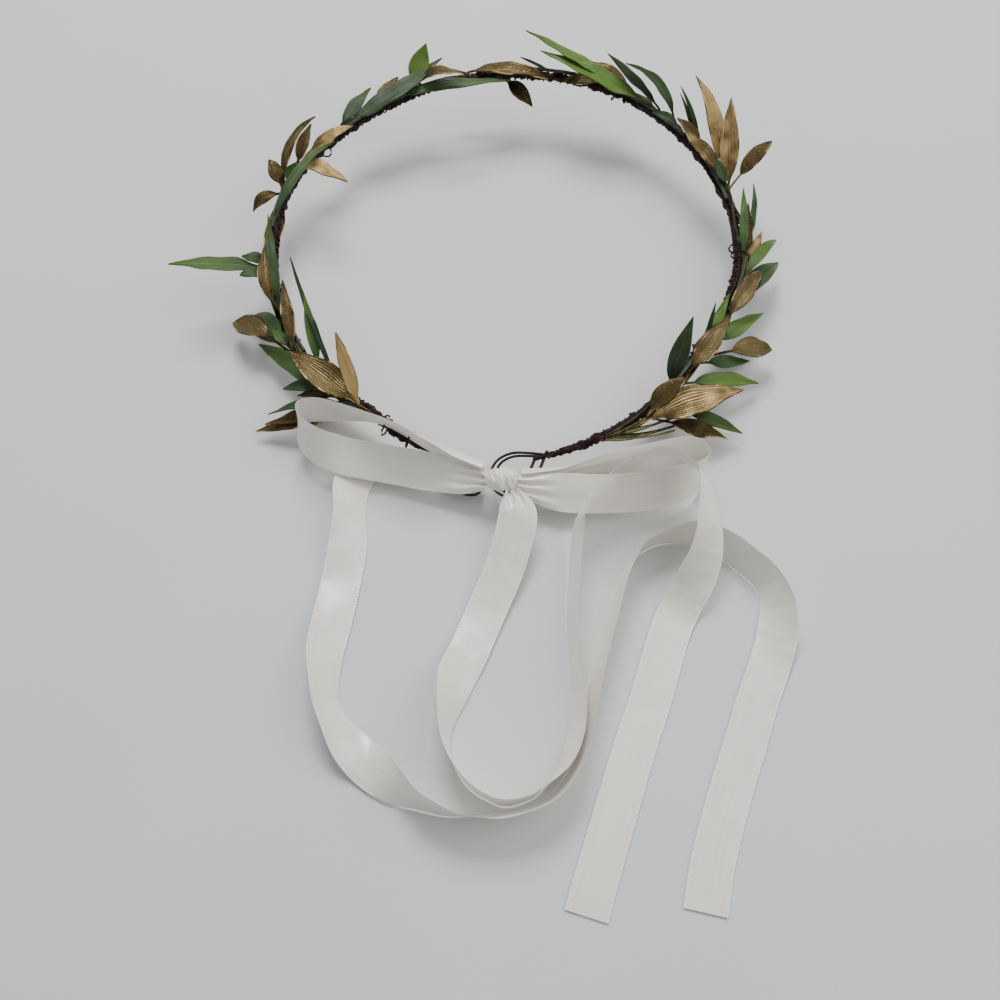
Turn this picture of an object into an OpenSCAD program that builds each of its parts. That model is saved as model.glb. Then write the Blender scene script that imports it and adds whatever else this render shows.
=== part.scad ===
// Leaf tiara: an open wire hoop dressed with green and gilded plastic leaf sprays. Its two wire eyes are
// tied together by a satin ribbon bow, whose two long tails lie on the surface.
// Z is up, +Y is the front of the tiara, and the origin is the middle of the head opening on the surface.

/* [Hoop] */
// Width of the hoop between its wire centre lines
hoop_width = 171; // [160:1:185]
// Depth of the hoop from its tied back to its front
hoop_depth = 172; // [160:1:185]
// Thickness of the bound bundle of wires and stems
bundle_d = 3.2; // [2.8:0.1:3.6]
// Thickness of the doubled wire of the two end eyes
eye_wire_d = 1.4; // [1:0.1:1.5]
// Height of the hoop wire above the surface at the tied back
back_height = 9; // [8.6:0.1:10]
// Height of the hoop wire above the surface at the front
front_height = 21; // [18:0.5:24]

/* [Leaves] */
// Scale of every leaf's width
leaf_width_scale = 1; // [0.8:0.05:1.2]
// Thickness of a leaf along its midrib
leaf_t = 0.9; // [0.7:0.1:1.2]
// Angle that each half of a green leaf is folded up from flat
green_fold = 12; // [5:1:30]
// Angle that each half of a gilded leaf is folded up from flat
gold_fold = 20; // [5:1:35]
// Thickness of a spray's stem
stem_d = 1.6; // [1.4:0.1:1.8]

/* [Ribbon] */
// Width of the satin ribbon
ribbon_w = 12.7; // [11:0.1:13]
// Thickness of the ribbon
ribbon_t = 1; // [0.8:0.1:1]

/* [Hidden] */
up = [0, 0, 1];
leaf_green = [0.22, 0.36, 0.15];
leaf_gold = [0.66, 0.50, 0.31];
wire_brown = [0.19, 0.12, 0.09];
satin_white = [0.93, 0.92, 0.90];
hoop_back = -hoop_depth / 2;

// The bundle runs from the hoop's right end round the front to its left end, in degrees from the back
bundle_from = 9;
bundle_to = 343;
bundle_step = 7;
bundle_sides = 8;
// Bumps of the binding: how far they stand out and how many there are in a full turn
bump = 0.1;
bumps = 41;
stem_gap = 0.15;
stem_sides = 6;
stem_step = 4;
twig_run = 2;
long_leaf = 27.5;
stalk_half = 0.5;
tip_half = 0.12;
// Steps of the smooth curve between two rows of a ribbon's table
loop_steps = 3;
tail_steps = 2;

// How far out the hoop runs, as a share of an even oval: [degrees from the back, share]
HOOP_REACH = [
  [0, 1.02], [9, 1.013], [22, 0.988], [33, 0.975], [45, 0.952], [58, 0.938], [74, 0.97],
  [85, 0.993], [95, 1.003], [110, 1.004], [135, 1.015], [150, 1.022], [163, 1.007], [180, 0.99],
  [198, 0.977], [213, 0.965], [230, 0.978], [243, 1.005], [256, 1.01], [268, 0.996], [292, 0.989],
  [304, 0.995], [316, 0.97], [326, 0.963], [335, 1.0], [343, 1.018], [360, 1.02]
];

// Wire eye beyond each end of the bundle: [x, y from the hoop's back, z from the hoop's back height]
RIGHT_EYE = [
  [8, 0.2, 0.4], [2, 0.2, 0.2], [-2.6, -2, -0.8], [-4.6, -6, -2.6], [-3.6, -10, -4], [0, -12.4, -4.6],
  [5, -12, -4.2], [9, -8.4, -3], [10.4, -4, -1.8]
];
LEFT_EYE = [
  [-10.4, -4.6, -3.2], [-8.4, -8, -4.6], [-10.6, -11, -5.6], [-15.4, -10.4, -5.2], [-19.4, -7, -3.6],
  [-22, -3.6, -2.4]
];

// Each spray is [stem, leaves]. Stem: [from, to, side], its ends in degrees round the hoop from the back
// (plus on the right, minus on the left), its side of the bundle in degrees up from outward.
// Leaf: [degrees round the hoop, side of the bundle, degrees outward from the hoop's run, degrees of rise,
// length, width, height of its arch, roll that lifts its outer edge, share of it that is bare stalk,
// sideways bow away from the hoop's middle]
GREEN_SPRAYS = [
  [[-37, -54, 30], [
    [-39.5, 30, 46, -7, 30, 5.5, 2, 30, 0.15, 0],
    [-42.5, 30, 5, -8, 42, 8, 2, -50, 0.12, 0],
    [-47, 0, 49, -10, 17, 5, 1, 0, 0.15, 0],
    [-45, 110, -24, 17, 51, 2.4, 1, 20, 0.12, 1],
    [-51, 110, -27, 27, 28, 4.5, 0, 0, 0.12, 0]
  ]],
  [[-57, -75, 110], [
    [-60, 20, 22, 2, 12, 4.5, 1, 0, 0.15, 0],
    [-61.5, 30, 34, -11, 22, 3, -2, 0, 0.12, 0],
    [-62, 20, 18, -15, 24, 8, 2, -30, 0.15, 0],
    [-70, 70, -9, 13, 41, 3.5, 2, 0, 0.12, 0]
  ]],
  [[-78, -91, 30], [
    [-84, 20, 94, 15, 37, 6.2, 1, 0, 0.12, 0],
    [-82, 10, 97, 17, 12.5, 6.5, 1, 0, 0.15, 0],
    [-86, 30, 97, 26, 12, 5.5, 0, 0, 0.15, 0]
  ]],
  [[-95, -113, 75], [
    [-97, 80, -23, 12, 41, 4.2, 3, 0, 0.12, 2.5],
    [-109, 60, -7, 44, 10, 5.5, 0, 0, 0.15, 0]
  ]],
  [[-124, -160, 110], [
    [-132, 20, 19, 7, 23, 6, 1, 0, 0.12, 0],
    [-132.5, 60, -8, 11, 48, 9, 0, 0, 0.12, -1.5],
    [-148, 80, -22, 5, 47, 6, 2, 0, 0.12, 0],
    [-154.5, 40, 47, 38, 19.5, 8.5, 0, 0, 0.12, 0]
  ]],
  [[158, 173, 30], [
    [162, 50, -10, 16, 12.5, 2, 0, 0, 0.15, 0],
    [169, 50, 4, 34, 13, 2, 0, 0, 0.15, 0]
  ]],
  [[127, 149, 110], [
    [147.5, 90, -8, 21, 46.3, 7, 1, -10, 0.12, 0],
    [140, 90, -17, 16, 48, 9.5, 1, 5, 0.12, 0],
    [137.5, 60, 0, 29, 30, 4.5, 1, 0, 0.12, 0],
    [132.5, 50, -3, 31, 29, 5, 3, 0, 0.12, 3],
    [129.5, 80, -12, 14, 13, 4.5, 1, 0, 0.15, 0]
  ]],
  [[104, 124.5, 110], [
    [125, 40, 18, 41, 19, 2, 1, 0, 0.12, 0],
    [123, 40, 17, 34, 24, 2.4, 1, 0, 0.12, 0.5],
    [108, 60, -4, 48, 12.5, 5, 0, 0, 0.15, 0]
  ]],
  [[70, 92, 45], [
    [73, 0, 25, -12, 34.5, 8, 3, 0, 0.12, 0],
    [81, 10, 31, -8, 28, 5, 4, 0, 0.12, 0],
    [86, 60, 2, 19, 29, 3.6, 1, 0, 0.12, 0],
    [89, -50, 14, -9, 42.5, 3, 2, -10, 0.12, 1.5]
  ]],
  [[36, 63, 75], [
    [39.5, 0, 60, -10, 31, 5.5, 1, 0, 0.3, 0],
    [42.5, 80, -19, 61, 29, 7, 1, 0, 0.12, 0],
    [46.5, 0, 40, -13, 31, 7, 2, 0, 0.15, 0],
    [53.5, 10, 44, -14, 22.5, 5.5, 0, 0, 0.2, 0],
    [53.5, 30, -5, 18, 28, 5, 0, 0, 0.12, 0],
    [58, 10, 22, -7, 31, 6.5, 1, 0, 0.2, 0],
    [59, 70, -8, 51, 15.5, 2, 0, 0, 0.15, 0]
  ]]
];
GOLD_SPRAYS = [
  [[-33, -46, -30], [
    [-38, -20, 49, -11, 37, 7.5, 0, 0, 0.15, 0],
    [-39, -10, 51, -8, 32, 6, 0, 0, 0.15, 0],
    [-37, 60, 0, 8.5, 32.5, 11, 1, -10, 0.12, 0],
    [-37, 60, -26, 53, 27, 5.5, 1, -20, 0.12, 0],
    [-43, -10, 43, -9, 16, 5.5, 1, 0, 0.15, 0]
  ]],
  [[-49, -75, -45], [
    [-52, -30, 7, -12, 16, 3.5, 0, 0, 0.15, 0],
    [-59, -10, 25, -10, 31, 10, 2, 0, 0.42, 0],
    [-58.5, 40, -16, 18, 27.5, 4.8, 2, 0, 0.12, 0],
    [-72, 30, -1, 11, 26, 6.5, 1, 0, 0.12, 1]
  ]],
  [[-98, -120, -30], [
    [-106, -40, -177, -9, 29, 7, 0, -20, 0.12, 1],
    [-107.5, -30, 128, -19, 15, 5.5, 3, 0, 0.15, 0],
    [-108.5, 0, 55, 21, 14, 6, 1, 0, 0.15, 0],
    [-109, 20, 2, 17, 31, 4, 3, 0, 0.12, 3],
    [-116, 0, 14, 30, 17, 5.5, 1, 0, 0.15, 0],
    [-115.5, 60, -99, 16, 24, 6.5, 2, 0, 0.15, 0],
    [-119, 70, -28, 20, 21, 7, 1, 0, 0.12, 0]
  ]],
  [[-140, -158, -30], [
    [-143.5, -20, 30, 10, 17, 6.5, 1, 0, 0.15, 0],
    [-150.5, -10, 1, 14, 10.5, 4, 3, 0, 0.15, 0],
    [-155.5, 50, -28, 24, 23, 7, 4, 0, 0.12, 0]
  ]],
  [[-166, -184, -30], [
    [-170, 30, -17, 6, 32, 7, 3, 0, 0.12, 0],
    [-180, -80, -33, -36, 16, 6.5, 1, 30, 0.12, 0]
  ]],
  [[136, 154, -30], [
    [139, -10, 2, 11, 12, 4, 1, -10, 0.15, 0],
    [146.5, -10, 10, 12, 23.3, 9.5, 1, 0, 0.12, 0],
    [152.5, 30, -20, 5, 18, 6.5, 1, 0, 0.15, 0]
  ]],
  [[104, 121, -30], [
    [108, 0, 73, 32, 25, 7.5, 1, 0, 0.31, 0],
    [108, -10, 23, 39, 34, 8.5, -1, 20, 0.12, 0],
    [110.5, 60, -16, 24, 24, 7, 1, 0, 0.12, 0],
    [115, 20, 10, 40, 35, 7, 1, 0, 0.12, 2.8],
    [121, 70, -6, 29, 16, 6, 1, 0, 0.15, 0]
  ]],
  [[66, 88, -30], [
    [67.5, 20, 16, 2, 28, 7.5, 3, -20, 0.12, 0],
    [80.5, -10, 18, 0, 26, 5.5, 0, 0, 0.12, 0],
    [86, -10, 8, 12, 25, 6, -2, -30, 0.12, 0]
  ]],
  [[30, 58, -30], [
    [32.5, 0, 18, 3, 38, 12.5, 2, 0, 0.12, 0],
    [34.5, -20, 50, -10, 30, 7, 1, 0, 0.3, 0],
    [34.5, 40, 10, 38, 19, 8, 1, 0, 0.12, 0],
    [49, 40, 1, 14, 27.5, 8, 1, -10, 0.12, 0],
    [56, -20, 45, -10, 29, 10, 2, 0, 0.4, 0]
  ]]
];

// Ribbon routes: [x, y from the hoop's back, z, lean, width share]. Lean is how far the ribbon's left
// hand edge is turned up from flat, in degrees, and minus lifts its right hand edge.
LOOP_LEFT = [
  [-6.8, -11, 10.6, -30, 0.5], [-10.5, -10, 10.2, -30, 0.62], [-15, -9, 9.2, -30, 0.8],
  [-26, -5.5, 8, -30, 1], [-36, -3, 7.4, -30, 1], [-46, -1.1, 7.6, -31, 1], [-55, 0, 9.2, -34, 1],
  [-62, 1.6, 12, -52, 1], [-67.4, 5.4, 13.4, -68, 1], [-70.2, 10, 14.2, -84, 1],
  [-69, 13.8, 14.6, -94, 1], [-63.5, 14.6, 15.4, -94, 1], [-55.5, 13, 16.2, -84, 1], [-45, 9.9, 17.2, -72, 1],
  [-36, 5.2, 18, -74, 1], [-27, 1.1, 16.2, -78, 0.68], [-18.5, -1.8, 13, -80, 0.45],
  [-7.6, -6.6, 12.6, -84, 0.35]
];
LOOP_RIGHT = [
  [3.4, -12, 10, 30, 0.5], [8, -13, 9.8, 30, 0.65], [18, -14, 8.8, 30, 1], [31, -14, 7.8, 30, 1],
  [44, -13, 7.4, 32, 1], [52, -11.5, 7.2, 40, 1], [58.5, -9.5, 7.2, 52, 1], [63, -7, 7.2, 70, 1],
  [66, -4, 7.2, 86, 1], [67.4, -1.2, 7.2, 94, 1], [66.6, 1.4, 7.2, 98, 1], [64, 3, 7.2, 102, 1],
  [60, 3.2, 7.4, 106, 1], [54.5, 1.8, 7.8, 108, 1], [47, -0.8, 8.6, 108, 1], [37, -3.5, 9.6, 104, 1],
  [27.5, -5, 9.2, 97, 0.82], [18, -6.7, 9, 95, 0.55], [10, -7.7, 10, 98, 0.4],
  [4.8, -8.1, 10.6, 98, 0.34]
];
TAIL_LEFT = [
  [1.8, -14.7, 11, 0, 0.45], [3, -19.5, 10.9, 0, 0.85], [3.5, -24.5, 9.8, 0, 1], [1.5, -33, 7, 0, 1],
  [-1, -40.5, 4.5, 0, 1], [-5, -50, 2.2, 0, 1], [-8.5, -58.5, 1.4, 0, 1], [-12, -67.5, 1.6, -4, 1],
  [-15.5, -76, 3.1, -24, 1], [-17.5, -84, 5.3, -50, 1], [-18.5, -90.5, 6.4, -68, 1],
  [-18.5, -97, 6.8, -78, 1], [-17, -103, 6.8, -82, 1], [-13.5, -109, 6.9, -84, 1],
  [-9.5, -113, 6.9, -84, 1], [-6, -115, 6.9, -83, 1], [-2, -116.5, 6.9, -83, 1],
  [1.5, -116.5, 6.9, -83, 1], [5, -115.5, 6.9, -82, 1], [8.5, -114, 6.8, -80, 1],
  [12, -111, 6.8, -76, 1], [15.5, -107, 6.7, -72, 1], [18, -102.5, 6.6, -68, 1], [20, -97, 6.5, -67, 1],
  [21, -91, 6.5, -68, 1], [21.5, -83.5, 6.6, -72, 1], [21, -75.5, 6.7, -75, 1], [20.5, -66, 6.7, -75, 1],
  [20.5, -54, 6.8, -75, 1], [21.5, -42, 7.2, -74, 1], [22.5, -32.5, 8.4, -73, 1],
  [23.5, -25.5, 10.2, -72, 1], [25.5, -21.5, 12.4, -72, 1], [28, -17.5, 14.8, -72, 1],
  [31, -14.5, 16.8, -71, 1], [34.5, -11.5, 18.4, -70, 1], [38.5, -8.5, 19.4, -70, 1],
  [43, -7, 20, -70, 1], [47.5, -5.5, 20.4, -70, 1], [52, -5.5, 20.6, -70, 1], [56, -7, 20.6, -70, 1],
  [59.5, -9, 20.4, -68, 1], [62.5, -12, 20, -66, 1], [64, -16, 19.6, -62, 1],
  [64.5, -20.5, 19.2, -57, 1], [64.5, -25, 18.6, -52, 1], [64.5, -30, 17.8, -46, 1],
  [64, -34.5, 16, -40, 1], [63, -39, 13.4, -34, 1], [61.5, -42.5, 10.2, -26, 1],
  [59.5, -46, 6.8, -16, 1], [57, -49.5, 3.6, -6, 1], [54.5, -54, 1.4, 0, 1], [51, -62, 0.7, 0, 1],
  [44, -83, 0.6, 0, 1], [38, -99, 0.6, 0, 1], [26.5, -133, 0.6, 0, 1],
  [22, -147, 0.6, 0, 1]
];
TAIL_RIGHT = [
  [-7.6, -7, 9, 0, 0.4], [-11, -7, 8.6, 0, 0.4], [-13.6, -6.8, 6.6, 0, 0.36], [-17, -6.2, 3, 0, 0.36],
  [-21.5, -5, 1.3, 0, 0.5], [-28, -2, 0.7, 0, 0.7], [-36, 0.6, 0.8, 0, 0.95],
  [-42.5, 2, 1, -2, 1], [-48.8, -0.4, 1.5, -8, 1], [-52.2, -8.4, 3, -24, 1],
  [-51.8, -19, 4.7, -40, 1], [-52, -30, 2.8, -20, 1],
  [-53.5, -43, 1.3, -4, 1], [-55, -55, 2.3, -14, 1], [-56.5, -68, 4, -32, 1], [-56, -78.5, 5.5, -50, 1],
  [-54.5, -86.5, 5.9, -56, 1], [-51, -93, 5, -42, 1], [-47, -98.5, 3.4, -18, 1],
  [-42, -103.5, 2.4, 8, 1], [-36.5, -108.5, 4.2, 33, 1], [-31.5, -112.5, 6.2, 58, 1],
  [-26, -116, 6.9, 80, 1], [-20, -118.5, 6.9, 92, 1], [-14, -120, 6.9, 102, 1], [-8.5, -120.5, 6.8, 108, 1],
  [-3, -120.5, 6.7, 111, 1], [3, -119.5, 6.7, 111, 1], [8.5, -117.5, 6.7, 111, 1],
  [13.5, -114.5, 6.7, 110, 1], [18, -109.5, 6.7, 109, 1], [21, -104, 6.7, 108, 1], [23, -98, 6.7, 107, 1],
  [24.5, -91, 6.8, 107, 1], [26, -83.5, 6.8, 107, 1], [28, -75, 6.8, 107, 1], [30.5, -66, 6.8, 107, 1],
  [33, -57.5, 6.8, 107, 1], [35.5, -49, 6.8, 106, 1], [38.5, -41.5, 6.9, 104, 1], [42, -35.5, 7, 101, 1],
  [46, -32, 6.9, 100, 1], [50.5, -29.8, 6.9, 98, 1], [55, -28.6, 6.7, 92, 1], [60, -28.2, 6.4, 80, 1],
  [64.5, -29, 6.2, 72, 1], [68.5, -31, 6.2, 70, 1], [72.5, -33.8, 6.3, 70, 1],
  [75.6, -36.6, 6.4, 70, 1], [78.6, -39.4, 6.5, 70, 1], [81.4, -42.4, 6.5, 68, 1], [83.6, -46, 6.3, 62, 1],
  [85, -50.4, 5.6, 50, 1], [85.6, -55, 4.6, 36, 1], [85.2, -60, 3.1, 20, 1], [84, -65.5, 1.8, 10, 1],
  [81, -73.5, 0.9, 2, 1], [77, -83, 0.6, 0, 1], [72, -96, 0.6, 0, 1], [65, -114, 0.6, 0, 1],
  [59, -131.5, 0.6, 0, 1], [55.5, -146, 0.6, 0, 1]
];

// Knot sections from left to right: [x, half depth, half height]
KNOT = [
  [-6.2, 1.6, 2.2], [-5.6, 2.9, 3], [-4, 3.5, 3.3], [-1.8, 3.8, 3.5], [0.6, 3.6, 3.4], [2.2, 3, 3],
  [2.8, 1.7, 2.2]
];
knot_y = -10.5;
knot_z = 11;
knot_sides = 12;

function unit(v) = v / norm(v);
function side_of(at) = at < 0 ? -1 : 1;
function forward(at) = [side_of(at) * cos(at), sin(abs(at)), 0];
function outward(at) = [sin(at), -cos(at), 0];
function hoop_point(at) =
  let (a = (at + 360) % 360, reach = lookup(a, HOOP_REACH))
  [
    hoop_width / 2 * reach * sin(a),
    -hoop_depth / 2 * reach * cos(a),
    back_height + (front_height - back_height) * (1 - cos(a)) / 2
  ];
function beside(at, around, gap) =
  hoop_point(at) + (bundle_d / 2 + bump + gap) * (cos(around) * outward(at) + sin(around) * up);
function stem_point(at, around) = beside(at, around, stem_gap + stem_d / 2);
function leaf_way(row) =
  cos(row[3]) * (cos(row[2]) * forward(row[0]) + sin(row[2]) * outward(row[0])) + sin(row[3]) * up;

// Direction along a path at its point i
function along(path, i) = unit(path[min(i + 1, len(path) - 1)] - path[max(i - 1, 0)]);

// Ring of a round wire: centre, direction, radius and number of sides
function ring(centre, way, r, sides) =
  let (across = unit(cross(way, up)), over = cross(across, way))
  [for (k = [0 : sides - 1]) centre + r * (cos(360 * k / sides) * across - sin(360 * k / sides) * over)];

// Triangles that join rings of equal size and close both ends
function skin(rings, sides) = concat(
  [for (i = [0 : rings - 2], k = [0 : sides - 1])
    [i * sides + k, (i + 1) * sides + k, (i + 1) * sides + (k + 1) % sides]],
  [for (i = [0 : rings - 2], k = [0 : sides - 1])
    [i * sides + k, (i + 1) * sides + (k + 1) % sides, i * sides + (k + 1) % sides]],
  [for (k = [1 : sides - 2]) [0, k, k + 1]],
  [for (k = [1 : sides - 2]) (rings - 1) * sides * [1, 1, 1] + [0, k + 1, k]]
);

// Smooth curve through the rows of a table, steps points from each row to the next
function smooth(rows, steps) = concat(
  [for (i = [0 : len(rows) - 2], k = [0 : steps - 1])
    let (
      t = k / steps,
      a = rows[max(i - 1, 0)],
      b = rows[i],
      c = rows[i + 1],
      d = rows[min(i + 2, len(rows) - 1)]
    )
    0.5 * (2 * b + (c - a) * t + (2 * a - 5 * b + 4 * c - d) * t * t + (3 * b - a - 3 * c + d) * t * t * t)],
  [rows[len(rows) - 1]]
);

function place(row) = [row[0], hoop_back + row[1], row[2]];

// Round wire through points, with one radius a point
module wire(path, radii, sides) {
  rings = [for (i = [0 : len(path) - 1]) each ring(path[i], along(path, i), radii[i], sides)];
  polyhedron(rings, skin(len(path), sides), convexity = 10);
}

// Bound bundle of the hoop with its two end eyes, as one wire
module hoop_wire() {
  bundle = [for (at = [bundle_from : bundle_step : bundle_to - 1]) hoop_point(at)];
  knobs = [for (at = [bundle_from : bundle_step : bundle_to - 1]) bundle_d / 2 + bump * sin(at * bumps)];
  right = [for (row = RIGHT_EYE) [row[0], hoop_back + row[1], back_height + row[2]]];
  left = [for (row = LEFT_EYE) [row[0], hoop_back + row[1], back_height + row[2]]];
  eye_r = eye_wire_d / 2;
  path = concat(
    [for (i = [len(right) - 1 : -1 : 0]) right[i]],
    [hoop_point(bundle_from - 1)],
    bundle,
    [hoop_point(bundle_to), hoop_point(bundle_to + 1.5)],
    left
  );
  radii = concat(
    [for (row = right) eye_r],
    [eye_r],
    knobs,
    [bundle_d / 2, eye_r],
    [for (row = left) eye_r]
  );
  color(wire_brown) wire(path, radii, bundle_sides);
}

function leaf_half(row, s) =
  let (stalk = row[8], width = row[5] * leaf_width_scale, p = (s - stalk) / (1 - stalk))
  s <= stalk ? stalk_half
  : stalk_half + (tip_half - stalk_half) * p
    + (width / 2 - stalk_half) * (stalk > 0.3 ? pow(sin(180 * p), 0.7) : sin(180 * pow(p, 0.75)));

// One pointed leaf, folded along its midrib: out of the stem, along the bundle to its base, then to its tip
module leaf(row, stem_side, fold) {
  side = side_of(row[0]);
  back = side * (abs(row[2]) > 120 ? -twig_run : twig_run);
  base = stem_point(row[0], row[1]);
  tip = hoop_point(row[0]) + row[4] * leaf_way(row);
  way = unit(tip - base);
  sideways = side * unit(cross(way, up));
  lift = side * cross(sideways, way);
  steps = row[4] > long_leaf ? 6 : 4;
  shares = concat([0, 0], [for (i = [0 : steps - 1]) row[8] + (1 - row[8]) * i / (steps - 1)]);
  path = concat(
    [stem_point(row[0] - back, stem_side)],
    [for (i = [1 : steps + 1])
      let (s = shares[i])
      base + (tip - base) * s + (lift * row[6] + sideways * row[9]) * 4 * s * (1 - s)]
  );
  points = [for (i = [0 : steps + 1])
    let (
      run = along(path, i),
      level = side * unit(cross(run, up)),
      rise = cross(level, run) * side,
      across = (cos(row[7]) * level + sin(row[7]) * rise) * leaf_half(row, shares[i]),
      normal = cos(row[7]) * rise - sin(row[7]) * level,
      raised = normal * leaf_half(row, shares[i]) * sin(fold),
      thick = normal * leaf_t * (i > steps ? 0.15 : 0.5)
    )
    each [
      path[i] + across * cos(fold) + raised,
      path[i] + thick,
      path[i] - across * cos(fold) + raised,
      path[i] - thick
    ]
  ];
  faces = skin(len(path), 4);
  polyhedron(points, side < 0 ? faces : [for (f = faces) [f[0], f[2], f[1]]], convexity = 6);
}

// Stem bound along the hoop, with a leaf for each row
module spray(rows, fold) {
  stem = rows[0];
  count = ceil(abs(stem[1] - stem[0]) / stem_step);
  path = [for (i = [0 : count]) stem_point(stem[0] + (stem[1] - stem[0]) * i / count, stem[2])];
  wire(path, [for (p = path) stem_d / 2], stem_sides);
  for (row = rows[1]) {
    leaf(row, stem[2], fold);
  }
}

module green_spray(i) {
  color(leaf_green) spray(GREEN_SPRAYS[i], green_fold);
}

module gold_spray(i) {
  color(leaf_gold) spray(GOLD_SPRAYS[i], gold_fold);
}

// Flat strip along a route, turned about its own run by each row's lean
module strip(route, steps) {
  rows = smooth(route, steps);
  path = [for (row = rows) place(row)];
  points = [for (i = [0 : len(rows) - 1])
    let (
      way = along(path, i),
      left = unit(cross(up, way)),
      top = cross(way, left),
      lean = rows[i][3],
      across = (cos(lean) * left + sin(lean) * top) * rows[i][4] * ribbon_w / 2,
      over = (cos(lean) * top - sin(lean) * left) * ribbon_t / 2
    )
    each [
      path[i] + across + over,
      path[i] - across + over,
      path[i] - across - over,
      path[i] + across - over
    ]
  ];
  color(satin_white) polyhedron(points, skin(len(rows), 4), convexity = 10);
}

module bow_loop_left() {
  strip(LOOP_LEFT, loop_steps);
}

module bow_loop_right() {
  strip(LOOP_RIGHT, loop_steps);
}

module ribbon_tail_left() {
  strip(TAIL_LEFT, tail_steps);
}

module ribbon_tail_right() {
  strip(TAIL_RIGHT, tail_steps);
}

// Wound middle of the bow, with pleats that run over it from top to bottom
module bow_knot() {
  points = [for (row = KNOT, k = [0 : knot_sides - 1])
    let (a = 360 * k / knot_sides)
    [row[0], hoop_back + knot_y + row[1] * cos(a), knot_z + row[2] * sin(a)]
  ];
  faces = skin(len(KNOT), knot_sides);
  color(satin_white) polyhedron(points, faces, convexity = 4);
}

hoop_wire();
for (i = [1 : len(GREEN_SPRAYS)]) {
  green_spray(i - 1);
}
for (i = [1 : len(GOLD_SPRAYS)]) {
  gold_spray(i - 1);
}
bow_knot();
bow_loop_left();
bow_loop_right();
ribbon_tail_left();
ribbon_tail_right();
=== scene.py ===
"""Looks of a leaf tiara: a bound wire hoop, moulded leaf sprays, a satin ribbon bow with two long tails, and
a plain pale stage. It is a Blender add-on in its layout, and is run as a script."""

import math

import bmesh
import bpy
from bpy.props import FloatProperty, FloatVectorProperty, PointerProperty
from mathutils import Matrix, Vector, noise


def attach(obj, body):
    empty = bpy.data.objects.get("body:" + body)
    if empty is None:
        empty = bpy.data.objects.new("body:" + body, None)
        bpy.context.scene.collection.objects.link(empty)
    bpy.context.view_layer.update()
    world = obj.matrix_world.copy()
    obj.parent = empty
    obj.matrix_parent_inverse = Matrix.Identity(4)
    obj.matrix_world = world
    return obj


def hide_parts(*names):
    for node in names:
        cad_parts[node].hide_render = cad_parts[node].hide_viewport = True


bl_info = {
    "name": "Leaf Tiara",
    "version": (1, 0, 0),
    "blender": (4, 5, 0),
    "location": "3D View > Sidebar > Leaf Tiara",
    "description": "Dresses the frame of a leaf tiara with its bound wire, leaves and satin ribbon",
    "category": "Object",
}

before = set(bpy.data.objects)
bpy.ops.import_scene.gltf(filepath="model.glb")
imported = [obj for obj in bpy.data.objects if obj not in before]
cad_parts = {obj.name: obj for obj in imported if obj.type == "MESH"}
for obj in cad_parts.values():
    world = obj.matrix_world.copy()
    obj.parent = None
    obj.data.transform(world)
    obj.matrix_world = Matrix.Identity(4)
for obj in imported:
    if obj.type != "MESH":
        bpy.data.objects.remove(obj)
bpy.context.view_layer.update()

MM = 0.001
UP = Vector((0, 0, 1))
# Gap in mm between the bundle and the stem of a spray
STEM_GAP = 0.25

# How far out the hoop runs, as a share of an even oval: (degrees from the back, share)
HOOP_REACH = (
    (0, 1.02), (9, 1.013), (22, 0.988), (33, 0.975), (45, 0.952), (58, 0.938), (74, 0.97), (85, 0.993),
    (95, 1.003), (110, 1.004), (135, 1.015), (150, 1.022), (163, 1.007), (180, 0.99), (198, 0.977),
    (213, 0.965), (230, 0.978), (243, 1.005), (256, 1.01), (268, 0.996), (292, 0.989), (304, 0.995),
    (316, 0.97), (326, 0.963), (335, 1), (343, 1.018), (360, 1.02),
)

# Wire eye beyond each end of the bundle: (x, y from the hoop's back, z from the hoop's back height), in mm
RIGHT_EYE = (
    (8, 0.2, 0.4), (2, 0.2, 0.2), (-2.6, -2, -0.8), (-4.6, -6, -2.6), (-3.6, -10, -4), (0, -12.4, -4.6),
    (5, -12, -4.2), (9, -8.4, -3), (10.4, -4, -1.8),
)
LEFT_EYE = (
    (-10.4, -4.6, -3.2), (-8.4, -8, -4.6), (-10.6, -11, -5.6), (-15.4, -10.4, -5.2), (-19.4, -7, -3.6),
    (-22, -3.6, -2.4),
)

# Ends of the bound bundle, in degrees round the hoop from the back
BUNDLE_FROM, BUNDLE_TO = 5.8, 344
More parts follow.
